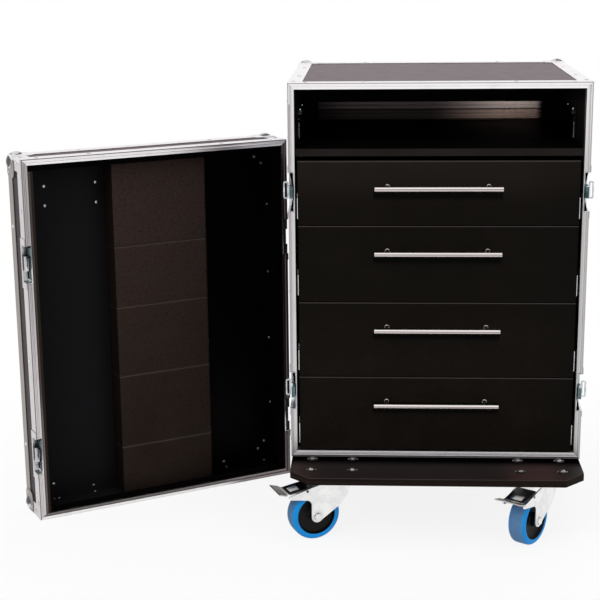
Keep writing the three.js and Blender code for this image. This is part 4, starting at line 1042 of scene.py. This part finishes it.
# On the board over each front castor: washers, and domed heads with a pair of lugs
def makeBolts(name, pivot, dark, bolts):
    washers, heads = [], []
    dome = [(0, 1.6), (6.2, 1.6), (6.2, 2.6), *((r, min(h, 5.8)) for r, h in arc((0, -1.6), 7.4, 33, 90))]
    across, deep = (value * mm / 2 for value in castor["bolts"])
    for signX, signY in ((-1, -1), (-1, 1), (1, -1), (1, 1)):
        spot = pivot + (signX * across, signY * deep, board[1].z + 0.3 * mm)
        washers.append(lathe(castor["washer"], spot, (0, 0, 1), 40))
        lugs = [spot + (end * 8.6 * mm, 0, 1 * mm) for end in (-1, 1)]
        heads += [domes(lugs, (0, 0, 1), 1.7, 1.6), lathe(dome, spot, (0, 0, 1), 40)]
    extra(f"castor_washers_{name}", washers, dark, "case")
    extra(f"castor_bolt_heads_{name}", heads, bolts, "case")


# Blackened steel, lighter past the knee out to the tip, with a painted highlight along the knee
def pedalFinish(name, pivot, turn):
    look = Finish(f"pedal steel {name}", pivot, turn)
    x = look.parts[0]
    knee = (castor["pin"][0] - castor["trail"]) * mm
    mottle = look.noise(160, 4, 0.6)
    metal = look.coats(
        look.blend(mottle.step(0.35, 0.75), (0.018, 0.018, 0.018), (0.09, 0.085, 0.08)),
        (x < knee + 3 * mm, look.blend(mottle.step(0.3, 0.7), (0.34, 0.31, 0.3), (0.66, 0.63, 0.62))),
        (x.near(knee, 3 * mm), (0.9, 0.88, 0.87)),
    )
    return look.shade(metal, 0.26 + mottle * 0.14, 1, look.bump(mottle, 0.05 * mm, 0.4))


# The pedal, its pin, and the brake's shoe below its window
def makePedal(name, local, pale, dark, turn):
    node = f"brake_pedal_{name}"
    steel = pedalFinish(name, local((0, 0, 0)), turn)
    dress(pedal(name, local), steel, bodyOf[node], [node])
    pin = lathe(mirrored(castor["pinEnd"]), *acrossAt(local, *castor["pin"]), 32)
    extra(f"brake_pin_{name}", [pin], dark, f"pedal_{name}")
    half = castor["shoeWidth"] * mm
    shapes = [plate(np.array(castor[part]) * mm, -half, half, local) for part in ("shoe", "neck")]
    extra(f"brake_shoe_{name}", shapes, pale, f"pedal_{name}", bevel=0.4)


# Latches and side handles. Their dishes are zinc outside, and dark where the pan or its back lies in shadow
def dishLook(name):
    look, fromX = boxFinish(name, case)[:2]
    cloud = look.noise(70, 3)
    sheet = look.blend(cloud.step(0.3, 0.7), (0.6, 0.62, 0.65), (0.86, 0.86, 0.87))
    return look, fromX, cloud, sheet, look.bump(cloud, 0.1 * mm, 0.3)


def latchDishFinish():
    look, fromX, cloud, sheet, normal = dishLook("latch pan")
    # Painted shade in dark teal in the pan, with painted glints and painted light on its ends
    glint = look.grain((260, 260, 90)).step(0.5, 0.64) * 0.5
    ends = fromLatch(look.parts[2]).size().step(13 * mm, 19 * mm) * (0.45 + glint)
    pan = look.coats((0.012, 0.03, 0.036), (glint, (0.3, 0.34, 0.36)), (ends, (0.8, 0.81, 0.83)))
    metal = look.blend(fromX.step(2.6 * mm, 3.4 * mm), sheet, pan)
    return look.shade(metal, 0.22 + cloud * 0.16, 1, normal)


# A handle's pan inside the case is black on its back as painted shade, but for a thin wavering painted
# glint on its front wall
handlePan = {
    "middle": (240 * mm, 620 * mm), "half": (79.1 * mm, 51.1 * mm), "deep": 18.2 * mm,
    "glint": (11 * mm, 0.55 * mm), "waver": 4 * mm, "high": (633 * mm, 21 * mm), "frontWall": 162 * mm,
}


def handleDishFinish():
    look, fromX, cloud, sheet, normal = dishLook("handle dish")
    y, z = look.parts[1:]
    waver = look.grain((0, 0, 90))
    glint = (fromX - waver * handlePan["waver"]).near(*handlePan["glint"]) * z.near(*handlePan["high"])
    glint = glint * (y < handlePan["frontWall"]) * waver.step(0.4, 0.46)
    back = look.blend(glint, (0.0045, 0.0045, 0.0045), (0.75, 0.74, 0.72))
    (acrossPan, upPan), (halfAcross, halfUp) = handlePan["middle"], handlePan["half"]
    within = y.near(acrossPan, halfAcross) * z.near(upPan, halfUp) * (fromX < handlePan["deep"])
    metal = look.surface(sheet, 0.24 + cloud * 0.16, 1, normal)
    black = look.surface(back, 0.6 + cloud * 0.1, glint, specular=0)
    return look.done(look.layers((1 - within) * (fromX > case["ply"]), metal, black))


def makeLatches():
    bright = zincFinish("zinc on the latches", (0.34, 0.38, 0.4), (0.84, 0.86, 0.87))
    dark = zincFinish("shaded zinc on the latches", (0.01, 0.034, 0.038), (0.13, 0.19, 0.21), 0.3)
    parts = (
        ("dish", latchDishFinish(), 0.35), ("hook", dark, 0.3), ("cam", dark, 0.3), ("wing", bright, 0.5),
    )
    for side in sides:
        for level in levels:
            for part, finish, width in parts:
                softened(f"latch_{part}_{level}_{side}", finish, width)


def makeHandles():
    dish = handleDishFinish()
    black = plasticFinish("grip plastic")
    for side in sides:
        softened(f"handle_dish_{side}", dish, 0.6, 3)
        softened(f"handle_bail_{side}", black, 0.8)


# Rivets: on the angles and corner plates, on the flanges of the dishes, and inside the lid
rivet = {
    "radius": 3.6, "height": 1.5, "fromEnd": 142 * mm, "onLeg": 16 * mm, "plate": (10 * mm, 34 * mm),
    "fronts": (50 * mm, 335 * mm, 637 * mm),  # heights on a front upright, clear of the latches
    "shallow": 200 * mm,  # a box with less depth has none along its legs that run in depth
    "panel": ((67.8, 671.6), (67.7, 632.2), (175.7, 671.4), (175.9, 630.2), (55, 42.3), (142.1, 23.4),
              (444.9, 22.6), (544.8, 54.4), (529.6, 38.5), (548.9, 681.9), (532.8, 696.5)),
    "floor": (53.4, 63.6, 143.6, 449.4, 541.8), "wall": (145, 294, 443.1, 592.9),
}


def framePlaces(box):  # rivets on each outer face but the open front and the bottom, by that face's normal
    size = np.array([box["width"], box["depth"], box["height"]])
    inPlate, alongPlate = rivet["plate"]
    found = {}
    for axis, end in ((0, 0), (0, 1), (1, 1), (2, 1)):
        normal = tuple((2 * end - 1) * (index == axis) for index in range(3))
        places = found.setdefault(normal, [])
        along, other = (axis + 1) % 3, (axis + 2) % 3
        for first, second in ((along, other), (other, along)):  # legs that run along the first
            for far in (0, 1):
                runs = (rivet["fromEnd"], size[first] - rivet["fromEnd"])
                if first == 1 and size[1] < rivet["shallow"]:
                    runs = ()
                if axis == 0 and second == 1 and far == 0:
                    runs = rivet["fronts"]
                spots = [(run, rivet["onLeg"]) for run in runs]
                for run, inset in (*spots, (alongPlate, inPlate), (size[first] - alongPlate, inPlate)):
                    place = np.zeros(3)
                    place[axis] = size[axis] * end
                    place[first] = run
                    place[second] = size[second] - inset if far else inset
                    places.append(place)
    return found


def makeRivets():
    steel = zincFinish("zinc on the rivets", (0.55, 0.55, 0.55), (0.9, 0.9, 0.9), 0.18)
    # Painted shade: a dark ring round each frame rivet, where it meets its plate
    dark = zincFinish("painted shade round the rivets", (0.1, 0.09, 0.09), (0.3, 0.28, 0.28), 0.4)
    # The rivets inside the lid in a darker copy of the zinc: painted shade
    dim = zincFinish("shaded zinc inside the lid", (0.3, 0.3, 0.3), (0.62, 0.62, 0.62), 0.24)
    radius, height = rivet["radius"], rivet["height"]
    for box in (case, lid):
        for kind, finish, wide, high in (("frame_rivets", steel, 1, 1), ("rivet_shade_rims", dark, 1.22, 0.2)):
            shapes = [domes(box["local"](places), facing(box, normal), radius * wide, height * high)
                      for normal, places in framePlaces(box).items()]
            extra(f"{box['name']}_{kind}", shapes, finish, box["name"])
    back = lid["depth"] - case["ply"]
    groups = (  # places, the way they face, radius and height in mm
        ([(x * mm, back, z * mm) for x, z in rivet["panel"]], (0, -1, 0), 3.4, 2.2),
        ([(x * mm, back - 5 * mm, case["ply"]) for x in rivet["floor"]], (0, 0, 1), 2.8, 1.8),
        ([(lid["width"] - case["ply"], back - 4 * mm, z * mm) for z in rivet["wall"]], (-1, 0, 0), 2.8, 1.8),
    )
    shapes = [domes(inLid(places), facing(lid, normal), wide, high)
              for places, normal, wide, high in groups]
    extra("lid_inner_rivets", shapes, dim, "lid")
    makeDishRivets(steel)


# On the flanges of the dishes, and two on top of each handle's pan inside the case
def makeDishRivets(steel):
    shapes = []
    for side, sign in sides.items():
        latches = [(f"latch_dish_{level}_{side}", 7, 22) for level in levels]
        for node, inset, front in (*latches, (f"handle_dish_{side}", 8, 8)):  # in from its edges, its front
            low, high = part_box(node)
            x = high.x if sign > 0 else low.x
            places = [(x, y, z) for y in (low.y + front * mm, high.y - inset * mm)
                      for z in (low.z + inset * mm, high.z - inset * mm)]
            shapes.append(domes(places, (sign, 0, 0), 3.2, rivet["height"]))
        wallX = case["width"] * (sign > 0) - sign * 15 * mm
        tops = inCase([(wallX, y * mm, 672 * mm) for y in (163, 240)])
        shapes.append(domes(tops, (0, 0, 1), 2.6, 3.2))
    extra("case_dish_rivets", shapes, steel, "case")


# Foam column: blocks between the slits, slightly uneven, with soft edges
foam = {
    "low": (193, 33, 11.1), "high": (397, 80.9, 728.9), "slits": (114, 268, 415.5, 542),  # in mm
    "gap": 0.35 * mm, "radius": 1.4 * mm, "cell": 4 * mm, "uneven": 20 * mm, "proud": 0.6 * mm,
    "lips": 2.2 * mm,
}


# Coarse open foam: pores of two sizes, lighter higher up and in patches, painted light on the lips along
# the slits, and a flank in painted shadow
def foamFinish():
    look = Finish("coarse foam", lid["corner"], lid["turn"])
    x, y, z = look.parts
    pores = look.cells(420)
    fine = look.noise(800, 3, 0.7)
    lips = sum(z.near(slit * mm, foam["lips"]) for slit in foam["slits"])
    tone = look.coats(
        look.blend(z.step(0, 0.7), (0.021, 0.0135, 0.0108), (0.044, 0.029, 0.0245)),
        (look.noise(11, 3).step(0.3, 0.8) * 0.35, (0.036, 0.027, 0.023)),
        (pores.step(0.45, 0.85) * 0.5, (0.009, 0.0065, 0.0055)),
        (fine.step(0.55, 0.8) * 0.5, (0.06, 0.045, 0.038)),
        (lips * 0.7, (0.08, 0.062, 0.054)),
        ((x < 194.2 * mm).most(y > 37 * mm) * 0.8, (0.0045, 0.0036, 0.003)),
    )
    normal = look.bump(pores, 0.7 * mm, 0.6, look.bump(fine, 0.4 * mm, 0.6))
    return look.shade(tone, 0.95, normal=normal, specular=0.02)


def makeFoam():
    low, high = np.array(foam["low"]) * mm, np.array(foam["high"]) * mm
    starts = [low[2], *(slit * mm + foam["gap"] for slit in foam["slits"])]
    ends = [*(slit * mm - foam["gap"] for slit in foam["slits"]), high[2]]
    shapes = []
    for index, (bottom, top) in enumerate(zip(starts, ends)):
        points, faces = roundedBlock(
            np.array([*low[:2], bottom]), np.array([*high[:2], top]), foam["radius"], foam["cell"])
        x, y, z = points.T
        wave = np.sin(x * 61 + z * 23) * np.sin(z * 47 + index)
        ripple = np.sin(x * 190 + index * 2) * np.sin(z * 173 + y * 90)
        moved = y + (wave * 0.5 + ripple * 0.25) * mm * (y < low[1] + foam["uneven"])
        points[:, 1] = np.maximum(moved, low[1] - foam["proud"])
        shapes.append((inLid(points), faces))
    piece = standIn("lid_foam", shapes, foamFinish(), sharp=80)


makeCamera()
makeStudio()
makeFloor()
print("studio ready")
makePanels()
makeProfiles()
makeLip()
makeKeeperWalls()
print("case and lid dressed")
makeInside()
makeDrawers()
print("drawers dressed")
softened("base_board", boardFinish(), 0.8, 3)
makeCastors()
print("castors dressed")
makeLatches()
makeHandles()
makeRivets()
makeFoam()
print("fittings dressed")
